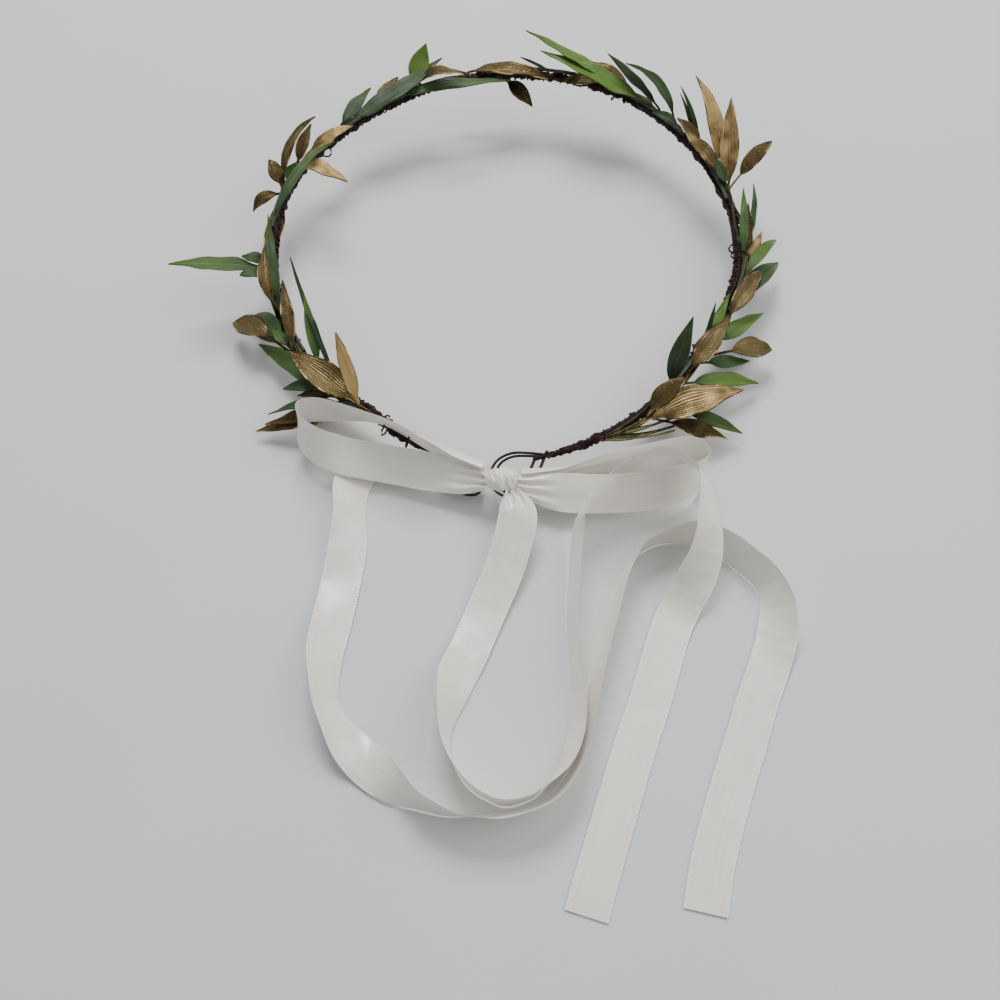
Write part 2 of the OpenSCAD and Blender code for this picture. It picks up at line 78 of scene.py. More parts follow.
# Bare stems bound in beside the bundle. Each is (from, to, side of the bundle in degrees, distance from its
# middle in mm, radius in mm, tone).
STEMS = (
    (12, 62, 150, 1.3, 0.5, 0.25), (20, 44, 60, 1.8, 0.45, 0.55), (24, 47, -10, 2.3, 0.5, 0.8),
    (26, 46, -40, 2.6, 0.5, 0.9), (22, 42, 20, 2, 0.5, 0.65), (26, 90, 100, 1.4, 0.55, 0.4),
    (30, 74, 190, 1.3, 0.5, 0.3), (38, 72, 40, 2.3, 0.4, 0.6), (52, 118, 130, 1.5, 0.6, 0.3),
    (64, 104, 20, 2.2, 0.45, 0.6), (80, 126, 170, 1.7, 0.6, 0.35), (84, 130, 60, 2.1, 0.6, 0.5),
    (92, 124, 0, 2.5, 0.5, 0.3), (96, 150, 110, 1.5, 0.5, 0.2), (122, 176, 160, 1.4, 0.55, 0.4),
    (134, 170, 40, 2, 0.4, 0.6), (158, 206, 110, 1.5, 0.5, 0.55), (188, 226, 30, 2.1, 0.45, 0.35),
    (196, 250, 150, 1.4, 0.55, 0.4), (214, 252, 60, 2.1, 0.4, 0.65), (232, 282, 100, 1.5, 0.6, 0.45),
    (246, 272, 20, 2.4, 0.45, 0.3), (252, 300, 190, 1.4, 0.5, 0.3), (270, 312, 50, 2.2, 0.4, 0.7),
    (280, 322, 130, 1.5, 0.6, 0.5), (296, 324, 20, 2.3, 0.45, 0.75), (300, 336, 90, 1.5, 0.5, 0.35),
    (308, 328, 60, 2.2, 0.35, 0.85), (318, 341, 160, 1.4, 0.45, 0.2),
)
# Loose stems that leave the bundle under the right-hand leaves. Each is (from, to, mm outward, mm lower,
# radius in mm, tone).
LOOSE_STEMS = (
    (21, 33, 7, 2, 0.5, 0.8), (22, 37, 9, 3, 0.55, 0.6), (22, 38, 11, 4, 0.5, 0.9),
    (23, 40, 10, 5, 0.6, 0.5), (24, 36, 6, 1, 0.45, 0.7), (24, 41, 8, 3, 0.5, 0.85),
    (25, 43, 9, 4, 0.55, 0.45),
)
# Where a turn of the binding wire stands off the bundle, in degrees round the hoop
LOOSE_TURNS = (87, 89.5, 151, 236, 331, 338)
# Twig stubs all round the bundle
STUBS = 46
# Cut ends of wire under the right end of the bundle: (x, y from the hoop's back, to x, to y), in mm
CUT_ENDS = ((9.8, -0.2, 7.6, -5.4), (12.9, -0.2, 10.7, -5.2))

# Each spray is (stem, leaves). Stem: (from, to, side), its ends in degrees round the hoop from the back, plus
# on the right and minus on the left, and its side of the bundle in degrees up from outward.
# Leaf: (degrees round the hoop, side of the bundle, degrees outward from the hoop's run, degrees of rise,
# length, width, height of its arch, roll that lifts its outer edge, share that is bare stalk, sideways bow
# away from the hoop's middle, tone). Lengths are in mm, and tone runs from 0, darkest of its kind, to 1.
GREEN_SPRAYS = (
    ((-37, -54, 30), (
        (-39.5, 30, 46, -7, 30, 5.5, 2, 30, 0.15, 0, 0.3),
        (-42.5, 30, 5, -8, 42, 8, 2, -50, 0.12, 0, 0.6),
        (-47, 0, 49, -10, 17, 5, 1, 0, 0.15, 0, 0.25),
        (-45, 110, -24, 17, 51, 2.4, 1, 20, 0.12, 1, 0.1),
        (-51, 110, -27, 27, 28, 4.5, 0, 0, 0.12, 0, 0.6),
    )),
    ((-57, -75, 110), (
        (-60, 20, 22, 2, 12, 4.5, 1, 0, 0.15, 0, 0.6),
        (-61.5, 30, 34, -11, 22, 3, -2, 0, 0.12, 0, 0.45),
        (-62, 20, 18, -15, 24, 8, 2, -30, 0.15, 0, 0.45),
        (-70, 70, -9, 13, 41, 3.5, 2, 0, 0.12, 0, 0.4),
    )),
    ((-78, -91, 30), (
        (-84, 20, 94, 15, 37, 6.2, 1, 0, 0.12, 0, 0.65),
        (-82, 10, 97, 17, 12.5, 6.5, 1, 0, 0.15, 0, 0.3),
        (-86, 30, 97, 26, 12, 5.5, 0, 0, 0.15, 0, 0.3),
    )),
    ((-95, -113, 75), (
        (-97, 80, -23, 12, 41, 4.2, 3, 0, 0.12, 2.5, 0.5),
        (-109, 60, -7, 44, 10, 5.5, 0, 0, 0.15, 0, 0.4),
    )),
    ((-124, -160, 110), (
        (-132, 20, 19, 7, 23, 6, 1, 0, 0.12, 0, 0.3),
        (-132.5, 60, -8, 11, 48, 9, 0, 0, 0.12, -1.5, 0.25),
        (-148, 80, -22, 5, 47, 6, 2, 0, 0.12, 0, 0.5),
        (-154.5, 40, 47, 38, 19.5, 8.5, 0, 0, 0.12, 0, 0.9),
    )),
    ((158, 173, 30), (
        (162, 50, -10, 16, 12.5, 2, 0, 0, 0.15, 0, 0.1),
        (169, 50, 4, 34, 13, 2, 0, 0, 0.15, 0, 0.1),
    )),
    ((127, 149, 110), (
        (147.5, 90, -8, 21, 46.3, 7, 1, -10, 0.12, 0, 0.95),
        (140, 90, -17, 16, 48, 9.5, 1, 5, 0.12, 0, 0.85),
        (137.5, 60, 0, 29, 30, 4.5, 1, 0, 0.12, 0, 0.15),
        (132.5, 50, -3, 31, 29, 5, 3, 0, 0.12, 3, 0.3),
        (129.5, 80, -12, 14, 13, 4.5, 1, 0, 0.15, 0, 0.3),
    )),
    ((104, 124.5, 110), (
        (125, 40, 18, 41, 19, 2, 1, 0, 0.12, 0, 0.15),
        (123, 40, 17, 34, 24, 2.4, 1, 0, 0.12, 0.5, 0.2),
        (108, 60, -4, 48, 12.5, 5, 0, 0, 0.15, 0, 0.3),
    )),
    ((70, 92, 45), (
        (73, 0, 25, -12, 34.5, 8, 3, 0, 0.12, 0, 0.4),
        (81, 10, 31, -8, 28, 5, 4, 0, 0.12, 0, 0.7),
        (86, 60, 2, 19, 29, 3.6, 1, 0, 0.12, 0, 0.6),
        (89, -50, 14, -9, 42.5, 3, 2, -10, 0.12, 1.5, 0.4),
    )),
    ((36, 63, 75), (
        (39.5, 0, 60, -10, 31, 5.5, 1, 0, 0.3, 0, 0.5),
        (42.5, 80, -19, 61, 29, 7, 1, 0, 0.12, 0, 0.2),
        (46.5, 0, 40, -13, 31, 7, 2, 0, 0.15, 0, 0.75),
        (53.5, 10, 44, -14, 22.5, 5.5, 0, 0, 0.2, 0, 0.45),
        (53.5, 30, -5, 18, 28, 5, 0, 0, 0.12, 0, 0.8),
        (58, 10, 22, -7, 31, 6.5, 1, 0, 0.2, 0, 0.7),
        (59, 70, -8, 51, 15.5, 2, 0, 0, 0.15, 0, 0.2),
    )),
)
GOLD_SPRAYS = (
    ((-33, -46, -30), (
        (-38, -20, 49, -11, 37, 7.5, 0, 0, 0.15, 0, 0.45),
        (-39, -10, 51, -8, 32, 6, 0, 0, 0.15, 0, 0.55),
        (-37, 60, 0, 8.5, 32.5, 11, 1, -10, 0.12, 0, 0.45),
        (-37, 60, -26, 53, 27, 5.5, 1, -20, 0.12, 0, 1.1),
        (-43, -10, 43, -9, 16, 5.5, 1, 0, 0.15, 0, 0.3),
    )),
    ((-49, -75, -45), (
        (-52, -30, 7, -12, 16, 3.5, 0, 0, 0.15, 0, 0.3),
        (-59, -10, 25, -10, 31, 10, 2, 0, 0.42, 0, 0.45),
        (-58.5, 40, -16, 18, 27.5, 4.8, 2, 0, 0.12, 0, 0.4),
        (-72, 30, -1, 11, 26, 6.5, 1, 0, 0.12, 1, 0.35),
    )),
    ((-98, -120, -30), (
        (-106, -40, -177, -9, 29, 7, 0, -20, 0.12, 1, 0.6),
        (-107.5, -30, 128, -19, 15, 5.5, 3, 0, 0.15, 0, 0.3),
        (-108.5, 0, 55, 21, 14, 6, 1, 0, 0.15, 0, 0.3),
        (-109, 20, 2, 17, 31, 4, 3, 0, 0.12, 3, 0.25),
        (-116, 0, 14, 30, 17, 5.5, 1, 0, 0.15, 0, 0.45),
        (-115.5, 60, -99, 16, 24, 6.5, 2, 0, 0.15, 0, 1),
        (-119, 70, -28, 20, 21, 7, 1, 0, 0.12, 0, 0.85),
    )),
    ((-140, -158, -30), (
        (-143.5, -20, 30, 10, 17, 6.5, 1, 0, 0.15, 0, 0.45),
        (-150.5, -10, 1, 14, 10.5, 4, 3, 0, 0.15, 0, 0.3),
        (-155.5, 50, -28, 24, 23, 7, 4, 0, 0.12, 0, 0.5),
    )),
    ((-166, -184, -30), (
        (-170, 30, -17, 6, 32, 7, 3, 0, 0.12, 0, 0.55),
        (-180, -80, -33, -36, 16, 6.5, 1, 30, 0.12, 0, 0.05),
    )),
    ((136, 154, -30), (
        (139, -10, 2, 11, 12, 4, 1, -10, 0.15, 0, 0.4),
        (146.5, -10, 10, 12, 23.3, 9.5, 1, 0, 0.12, 0, 0.65),
        (152.5, 30, -20, 5, 18, 6.5, 1, 0, 0.15, 0, 0.4),
    )),
    ((104, 121, -30), (
        (108, 0, 73, 32, 25, 7.5, 1, 0, 0.31, 0, 0.4),
        (108, -10, 23, 39, 34, 8.5, -1, 20, 0.12, 0, 0.85),
        (110.5, 60, -16, 24, 24, 7, 1, 0, 0.12, 0, 0.65),
        (115, 20, 10, 40, 35, 7, 1, 0, 0.12, 2.8, 0.95),
        (121, 70, -6, 29, 16, 6, 1, 0, 0.15, 0, 0.5),
    )),
    ((66, 88, -30), (
        (67.5, 20, 16, 2, 28, 7.5, 3, -20, 0.12, 0, 0.45),
        (80.5, -10, 18, 0, 26, 5.5, 0, 0, 0.12, 0, 0.75),
        (86, -10, 8, 12, 25, 6, -2, -30, 0.12, 0, 0.1),
    )),
    ((30, 58, -30), (
        (32.5, 0, 18, 3, 38, 12.5, 2, 0, 0.12, 0, 0.8),
        (34.5, -20, 50, -10, 30, 7, 1, 0, 0.3, 0, 0.15),
        (34.5, 40, 10, 38, 19, 8, 1, 0, 0.12, 0, 0.45),
        (49, 40, 1, 14, 27.5, 8, 1, -10, 0.12, 0, 0.4),
        (56, -20, 45, -10, 29, 10, 2, 0, 0.4, 0, 0.45),
    )),
)

# Ribbon routes, in mm: (x, y from the hoop's back, z, lean, width share). Lean is how far the ribbon's left
# hand edge is turned up from flat, in degrees, and minus lifts its right hand edge.
LOOP_LEFT = (
    (-6.8, -11, 10.6, -30, 0.5), (-10.5, -10, 10.2, -30, 0.62), (-15, -9, 9.2, -30, 0.8),
    (-26, -5.5, 8, -30, 1), (-36, -3, 7.4, -30, 1), (-46, -1.1, 7.6, -31, 1), (-55, 0, 9.2, -34, 1),
    (-62, 1.6, 12, -52, 1), (-67.4, 5.4, 13.4, -68, 1), (-70.2, 10, 14.2, -84, 1),
    (-69, 13.8, 14.6, -94, 1), (-63.5, 14.6, 15.4, -94, 1), (-55.5, 13, 16.2, -84, 1),
    (-45, 9.9, 17.2, -72, 1), (-36, 5.2, 18, -74, 1), (-27, 1.1, 16.2, -78, 0.68),
    (-18.5, -1.8, 13, -80, 0.45), (-7.6, -6.6, 12.6, -84, 0.35),
)
LOOP_RIGHT = (
    (3.4, -12, 10, 30, 0.5), (8, -13, 9.8, 30, 0.65), (18, -14, 8.8, 30, 1), (31, -14, 7.8, 30, 1),
    (44, -13, 7.4, 32, 1), (52, -11.5, 7.2, 40, 1), (58.5, -9.5, 7.2, 52, 1), (63, -7, 7.2, 70, 1),
    (66, -4, 7.2, 86, 1), (67.4, -1.2, 7.2, 94, 1), (66.6, 1.4, 7.2, 98, 1), (64, 3, 7.2, 102, 1),
    (60, 3.2, 7.4, 106, 1), (54.5, 1.8, 7.8, 108, 1), (47, -0.8, 8.6, 108, 1), (37, -3.5, 9.6, 104, 1),
    (27.5, -5, 9.2, 97, 0.82), (18, -6.7, 9, 95, 0.55), (10, -7.7, 10, 98, 0.4),
    (4.8, -8.1, 10.6, 98, 0.34),
)
TAIL_LEFT = (
    (1.8, -14.7, 11, 0, 0.45), (3, -19.5, 10.9, 0, 0.85), (3.5, -24.5, 9.8, 0, 1), (1.5, -33, 7, 0, 1),
    (-1, -40.5, 4.5, 0, 1), (-5, -50, 2.2, 0, 1), (-8.5, -58.5, 1.4, 0, 1), (-12, -67.5, 1.6, -4, 1),
    (-15.5, -76, 3.1, -24, 1), (-17.5, -84, 5.3, -50, 1), (-18.5, -90.5, 6.4, -68, 1),
    (-18.5, -97, 6.8, -78, 1), (-17, -103, 6.8, -82, 1), (-13.5, -109, 6.9, -84, 1),
    (-9.5, -113, 6.9, -84, 1), (-6, -115, 6.9, -83, 1), (-2, -116.5, 6.9, -83, 1),
    (1.5, -116.5, 6.9, -83, 1), (5, -115.5, 6.9, -82, 1), (8.5, -114, 6.8, -80, 1),
    (12, -111, 6.8, -76, 1), (15.5, -107, 6.7, -72, 1), (18, -102.5, 6.6, -68, 1),
    (20, -97, 6.5, -67, 1), (21, -91, 6.5, -68, 1), (21.5, -83.5, 6.6, -72, 1),
    (21, -75.5, 6.7, -75, 1), (20.5, -66, 6.7, -75, 1), (20.5, -54, 6.8, -75, 1),
    (21.5, -42, 7.2, -74, 1), (22.5, -32.5, 8.4, -73, 1), (23.5, -25.5, 10.2, -72, 1),
    (25.5, -21.5, 12.4, -72, 1), (28, -17.5, 14.8, -72, 1), (31, -14.5, 16.8, -71, 1),
    (34.5, -11.5, 18.4, -70, 1), (38.5, -8.5, 19.4, -70, 1), (43, -7, 20, -70, 1),
    (47.5, -5.5, 20.4, -70, 1), (52, -5.5, 20.6, -70, 1), (56, -7, 20.6, -70, 1),
    (59.5, -9, 20.4, -68, 1), (62.5, -12, 20, -66, 1), (64, -16, 19.6, -62, 1),
    (64.5, -20.5, 19.2, -57, 1), (64.5, -25, 18.6, -52, 1), (64.5, -30, 17.8, -46, 1),
    (64, -34.5, 16, -40, 1), (63, -39, 13.4, -34, 1), (61.5, -42.5, 10.2, -26, 1),
    (59.5, -46, 6.8, -16, 1), (57, -49.5, 3.6, -6, 1), (54.5, -54, 1.4, 0, 1), (51, -62, 0.7, 0, 1),
    (44, -83, 0.6, 0, 1), (38, -99, 0.6, 0, 1), (26.5, -133, 0.6, 0, 1), (22, -147, 0.6, 0, 1),
)
TAIL_RIGHT = (
    (-7.6, -7, 9, 0, 0.4), (-11, -7, 8.6, 0, 0.4), (-13.6, -6.8, 6.6, 0, 0.36), (-17, -6.2, 3, 0, 0.36),
    (-21.5, -5, 1.3, 0, 0.5), (-28, -2, 0.7, 0, 0.7), (-36, 0.6, 0.8, 0, 0.95), (-42.5, 2, 1, -2, 1),
    (-48.8, -0.4, 1.5, -8, 1), (-52.2, -8.4, 3, -24, 1), (-51.8, -19, 4.7, -40, 1),
    (-52, -30, 2.8, -20, 1), (-53.5, -43, 1.3, -4, 1), (-55, -55, 2.3, -14, 1), (-56.5, -68, 4, -32, 1),
    (-56, -78.5, 5.5, -50, 1), (-54.5, -86.5, 5.9, -56, 1), (-51, -93, 5, -42, 1),
    (-47, -98.5, 3.4, -18, 1), (-42, -103.5, 2.4, 8, 1), (-36.5, -108.5, 4.2, 33, 1),
    (-31.5, -112.5, 6.2, 58, 1), (-26, -116, 6.9, 80, 1), (-20, -118.5, 6.9, 92, 1),
    (-14, -120, 6.9, 102, 1), (-8.5, -120.5, 6.8, 108, 1), (-3, -120.5, 6.7, 111, 1),
    (3, -119.5, 6.7, 111, 1), (8.5, -117.5, 6.7, 111, 1), (13.5, -114.5, 6.7, 110, 1),
    (18, -109.5, 6.7, 109, 1), (21, -104, 6.7, 108, 1), (23, -98, 6.7, 107, 1),
    (24.5, -91, 6.8, 107, 1), (26, -83.5, 6.8, 107, 1), (28, -75, 6.8, 107, 1),
    (30.5, -66, 6.8, 107, 1), (33, -57.5, 6.8, 107, 1), (35.5, -49, 6.8, 106, 1),
    (38.5, -41.5, 6.9, 104, 1), (42, -35.5, 7, 101, 1), (46, -32, 6.9, 100, 1),
    (50.5, -29.8, 6.9, 98, 1), (55, -28.6, 6.7, 92, 1), (60, -28.2, 6.4, 80, 1),
    (64.5, -29, 6.2, 72, 1), (68.5, -31, 6.2, 70, 1), (72.5, -33.8, 6.3, 70, 1),
    (75.6, -36.6, 6.4, 70, 1), (78.6, -39.4, 6.5, 70, 1), (81.4, -42.4, 6.5, 68, 1),
    (83.6, -46, 6.3, 62, 1), (85, -50.4, 5.6, 50, 1), (85.6, -55, 4.6, 36, 1), (85.2, -60, 3.1, 20, 1),
    (84, -65.5, 1.8, 10, 1), (81, -73.5, 0.9, 2, 1), (77, -83, 0.6, 0, 1), (72, -96, 0.6, 0, 1),
    (65, -114, 0.6, 0, 1), (59, -131.5, 0.6, 0, 1), (55.5, -146, 0.6, 0, 1),
)

# Knot sections from left to right, in mm: (x, half depth, half height). Its middle: (y from the hoop's back,
# z). Its length is what its threads are scaled to.
KNOT = (
    (-7.2, 0.9, 1.5), (-6.2, 2.2, 2.6), (-5, 3.2, 3.2), (-3.4, 3.6, 3.5), (-1.8, 3.8, 3.6), (-0.2, 3.7, 3.5),
    (1.4, 3.4, 3.3), (2.6, 2.6, 2.8), (3.6, 1.1, 1.8),
)
KNOT_MIDDLE = (-10.5, 11)
KNOT_LENGTH = 11


def linear(code):
    """Linear red, green, blue and alpha of an sRGB hex colour such as #AABBCC."""
    parts = [int(code[i:i + 2], 16) / 255 for i in (1, 3, 5)]
    return (*(c / 12.92 if c <= 0.04045 else ((c + 0.055) / 1.055) ** 2.4 for c in parts), 1.0)


def length_property(name, description, mm):
    return FloatProperty(
        name=name, description=description, default=mm * MM, min=0, unit="LENGTH", precision=5
    )


def angle_property(name, description, degrees):
    return FloatProperty(name=name, description=description, default=math.radians(degrees), subtype="ANGLE")


def colour_property(name, description, code):
    return FloatVectorProperty(
        name=name, description=description, default=linear(code), size=4, min=0, max=1, subtype="COLOR"
    )


class HoopSettings(bpy.types.PropertyGroup):
    width: length_property("Width", "Width of the hoop between its wire centre lines", 171)
    depth: length_property("Depth", "Depth of the hoop from its tied back to its front", 172)
    back_height: length_property("Back height", "Height of the hoop wire at the tied back", 9)
    front_height: length_property("Front height", "Height of the hoop wire at the front", 21)
    bundle: length_property("Bundle", "Thickness of the bound bundle of wires and stems", 3.2)
    binding: length_property("Binding", "Thickness of the wire wound round the bundle", 0.7)
    binding_pitch: length_property("Binding pitch", "Distance between turns of the wound wire", 2.6)
    eye_wire: length_property("Eye wire", "Thickness of each of the two wires of an eye", 0.95)


class LeafSettings(bpy.types.PropertyGroup):
    thickness: length_property("Thickness", "Thickness of a leaf's blade", 0.4)
    stem: length_property("Stem", "Thickness of a spray's stem", 1.6)
    green_fold: angle_property("Green fold", "Angle that each half of a green leaf is folded up", 12)
    gold_fold: angle_property("Gilded fold", "Angle that each half of a gilded leaf is folded up", 20)
    ripple: length_property("Ripple", "How far a leaf's face and edges wave", 0.9)


class RibbonSettings(bpy.types.PropertyGroup):
    width: length_property("Width", "Width of the satin ribbon", 12.7)
    thickness: length_property("Thickness", "Thickness of the satin ribbon", 0.3)
    ripple: length_property("Ripple", "How far the ribbon's face waves", 0.4)
    pleat: length_property("Pleat", "Depth of the pleats where the ribbon is drawn in at the knot", 1.1)


class ColourSettings(bpy.types.PropertyGroup):
    green_dark: colour_property("Dark green", "Grooves and bases of the green leaves", "#1F2F1C")
    green_mid: colour_property("Leaf green", "Most of a green leaf", "#3B5827")
    green_bright: colour_property("Fresh green", "Brightest green leaves and their tips", "#65872F")
    gilt_dark: colour_property("Worn olive", "Edges and hollows where the gilding is thin", "#332B16")
    gilt_mid: colour_property("Antique gold", "Most of a gilded leaf", "#70603B")
    # Bright gold also paints the highlights in patches along the edges of a gilded leaf
    gilt_bright: colour_property("Bright gold", "Raised and polished parts of a gilded leaf", "#DCBC80")
    wire: colour_property("Wire", "Dark maroon wire and tape", "#230B0A")
    moss: colour_property("Moss", "Mossy parts of the bound stems", "#34341F")
    straw: colour_property("Straw", "Palest of the bound stems", "#7C744C")
    satin: colour_property("Satin", "Face of the white ribbon", "#F8F3E8")
    floor: colour_property("Floor", "Pale surface that the tiara lies on", "#DADADA")


def hoop_settings():
    return bpy.context.scene.tiara_hoop


def leaf_settings():
    return bpy.context.scene.tiara_leaves


def ribbon_settings():
    return bpy.context.scene.tiara_ribbon


def colours():
    return bpy.context.scene.tiara_colours


# Shape helpers. Every function here works in mm.


def between(x, table):
    """Value at x of a table of (x, value) rows, straight from row to row."""
    for (x0, y0), (x1, y1) in zip(table, table[1:]):
        if x0 <= x <= x1:
            return y0 + (y1 - y0) * (x - x0) / (x1 - x0)
    raise ValueError(f"{x} is outside the table")


def smooth(rows, t):
    """Point at t, from 0 to 1, of the smooth curve through the rows, as a tuple."""
    spans = len(rows) - 1
    i = min(int(t * spans), spans - 1)
    f = t * spans - i
    a, b, c, d = rows[max(i - 1, 0)], rows[i], rows[i + 1], rows[min(i + 2, spans)]
    return tuple(
        0.5 * (2 * q + (r - p) * f + (2 * p - 5 * q + 4 * r - s) * f * f + (3 * q - p - 3 * r + s) * f ** 3)
        for p, q, r, s in zip(a, b, c, d)
    )


def side_of(at):
    return -1 if at < 0 else 1


def forward(at):
    """Way round the hoop, away from its back on either side."""
    a = math.radians(at)
    return Vector((side_of(at) * math.cos(a), abs(math.sin(a)) * (1 if abs(at) <= 180 else -1), 0))


def outward(at):
    """Level way out from the middle of the hoop."""
    a = math.radians(at)
    return Vector((math.sin(a), -math.cos(a), 0))


def hoop_point(at):
    """Middle of the hoop's wire, at degrees round it from the back."""
    hoop = hoop_settings()
    reach = between(at % 360, HOOP_REACH)
    a = math.radians(at)
    return Vector((
        hoop.width / MM / 2 * reach * math.sin(a),
        -hoop.depth / MM / 2 * reach * math.cos(a),
        (hoop.back_height + (hoop.front_height - hoop.back_height) * (1 - math.cos(a)) / 2) / MM,
    ))


def beside(at, around, distance):
    """Point beside the hoop's middle line, at an angle up from outward and a distance."""
    a = math.radians(around)
    return hoop_point(at) + distance * (math.cos(a) * outward(at) + math.sin(a) * UP)


def stem_point(at, around):
    """Middle of a spray's stem, which runs a small gap away from the bundle."""
    return beside(at, around, (hoop_settings().bundle + leaf_settings().stem) / 2 / MM + STEM_GAP)


def lay_grid(bm, columns, rows, place, tone=0.5, length=1):
    """Grid of columns by rows whose corners place(u, v) puts, u along and v across, both from 0 to 1. They
    are kept as its UVs, with u times the length. Every corner gets the tone."""
    uv = bm.loops.layers.uv.verify()
    tones = bm.verts.layers.float.get("tone") or bm.verts.layers.float.new("tone")
    made = bmesh.ops.create_grid(bm, x_segments=columns, y_segments=rows, size=0.5)["verts"]
    faces = list(dict.fromkeys(face for vert in made for face in vert.link_faces))
    for face in faces:
        for loop in face.loops:
            loop[uv].uv = ((loop.vert.co.x + 0.5) * length, loop.vert.co.y + 0.5)
    for vert in made:
        vert.co = place(vert.co.x + 0.5, vert.co.y + 0.5) * MM
        vert[tones] = tone
    return faces


def close_tube(bm, faces):
    """Welds the long seam of a tube that was laid as a grid, and fills its two ends."""
    verts = list(dict.fromkeys(vert for face in faces for vert in face.verts))
    bmesh.ops.remove_doubles(bm, verts=verts, dist=1e-6)
    edges = list(dict.fromkeys(
        edge for vert in verts if vert.is_valid for edge in vert.link_edges if edge.is_boundary
    ))
    bmesh.ops.holes_fill(bm, edges=edges, sides=0)


def lay_tube(bm, columns, sides, line, radius, tone=0.5):
    """Closed tube: line(u) is its middle and radius(u, v) its radius, v going once round it."""
    step = 0.5 / columns

    def place(u, v):
        way = (line(min(u + step, 1)) - line(max(u - step, 0))).normalized()
        across = way.cross(UP).normalized()
        over = across.cross(way)
        a = 2 * math.pi * v
        return line(u) + radius(u, v) * (math.cos(a) * across + math.sin(a) * over)

    close_tube(bm, lay_grid(bm, columns, sides, place, tone))


def finish_mesh(bm, name, material, nodes=(), thickness=0, crease=40):
    """Makes the object of a shape: gives sheets their thickness in mm, turns faces outwards, marks creases
    sharp, and rides it on the tiara in place of the CAD nodes."""
    if thickness:
        bmesh.ops.solidify(bm, geom=bm.faces[:], thickness=thickness * MM)
    bmesh.ops.recalc_face_normals(bm, faces=bm.faces[:])
    for face in bm.faces:
        face.smooth = True
    for edge in bm.edges:
        edge.smooth = edge.calc_face_angle(0) < math.radians(crease)
    mesh = bpy.data.meshes.new(name)
    bm.to_mesh(mesh)
    bm.free()
    piece = bpy.data.objects.new(name, mesh)
    bpy.context.scene.collection.objects.link(piece)
    mesh.materials.append(material)
    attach(piece, "root")
    if nodes:
        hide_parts(*nodes)
    return piece


# Materials


def add_node(tree, kind, inputs=None, stops=(), **settings):
    """Adds a shader node with its settings. Each input, by name or number, gets a value, a socket or another
    node's first output in use. Stops are the (position, colour) pairs of a colour ramp."""
    node = tree.nodes.new(kind)
    for name, value in settings.items():
        setattr(node, name, value)
    for key, value in (inputs or {}).items():
        if isinstance(value, bpy.types.Node):
            value = next(socket for socket in value.outputs if socket.enabled)
        if isinstance(value, bpy.types.NodeSocket):
            tree.links.new(value, node.inputs[key])
        else:
            node.inputs[key].default_value = value
    for i, (position, colour) in enumerate(stops):
        elements = node.color_ramp.elements
        element = elements[i] if i < len(elements) else elements.new(position)
        element.position, element.color = position, colour
    return node


def new_material(name):
    """Empty material, as (material, its node tree)."""
    material = bpy.data.materials.new(name)
    material.use_nodes = True
    material.node_tree.nodes.clear()
    return material, material.node_tree


# Ends of a mask, and the colour inputs of a Mix node
NONE, FULL = (0, 0, 0, 1), (1, 1, 1, 1)
MIX_A, MIX_B = 6, 7


def strip_places(tree):
    """Places on a leaf or ribbon from its UVs: the UVs, how far along, and the distance from its middle line
    as a share of its half width."""
    uv = add_node(tree, "ShaderNodeUVMap")
    parts = add_node(tree, "ShaderNodeSeparateXYZ", {"Vector": uv}).outputs
    side = add_node(tree, "ShaderNodeMath", {0: parts["Y"], 1: 0.5}, operation="SUBTRACT")
    side = add_node(tree, "ShaderNodeMath", {0: side}, operation="ABSOLUTE")
    away = add_node(tree, "ShaderNodeMath", {0: side, 1: 2}, operation="MULTIPLY")
    return uv, parts["X"], away


def leaf_pattern(tree):
    """What both kinds of leaf share, on their UVs: how far along, distance from the midrib, tone, long
    moulded veins (11 on a leaf, so about 0.6 mm apart on a wide one) and the finer streaks between them."""
    uv, along, away = strip_places(tree)
    tone = add_node(tree, "ShaderNodeAttribute", attribute_name="tone").outputs["Fac"]
    slow = add_node(tree, "ShaderNodeMapping", {"Vector": uv, "Scale": (0.25, 1, 1)})
    veins = add_node(
        tree, "ShaderNodeTexWave",
        {"Vector": slow, "Scale": 3.5, "Distortion": 1.2, "Detail": 2, "Detail Scale": 2},
        bands_direction="Y",
    ).outputs["Fac"]
    fine = add_node(tree, "ShaderNodeMapping", {"Vector": uv, "Scale": (2, 34, 1)})
    shifted = add_node(tree, "ShaderNodeVectorMath", {0: fine, 1: tone}, operation="ADD")
    streaks = add_node(
        tree, "ShaderNodeTexNoise", {"Vector": shifted, "Scale": 1, "Detail": 3, "Roughness": 0.6}
    ).outputs["Fac"]
    return along, away, tone, veins, streaks


def shade_by(tree, tone, *parts):
    """Tone plus each (value, amount) part, counted from its middle."""
    for value, amount in parts:
        tone = add_node(
            tree, "ShaderNodeMath", {0: value, 1: amount, 2: tone}, operation="MULTIPLY_ADD"
        )
        tone = add_node(tree, "ShaderNodeMath", {0: tone, 1: amount / 2}, operation="SUBTRACT")
    return tone


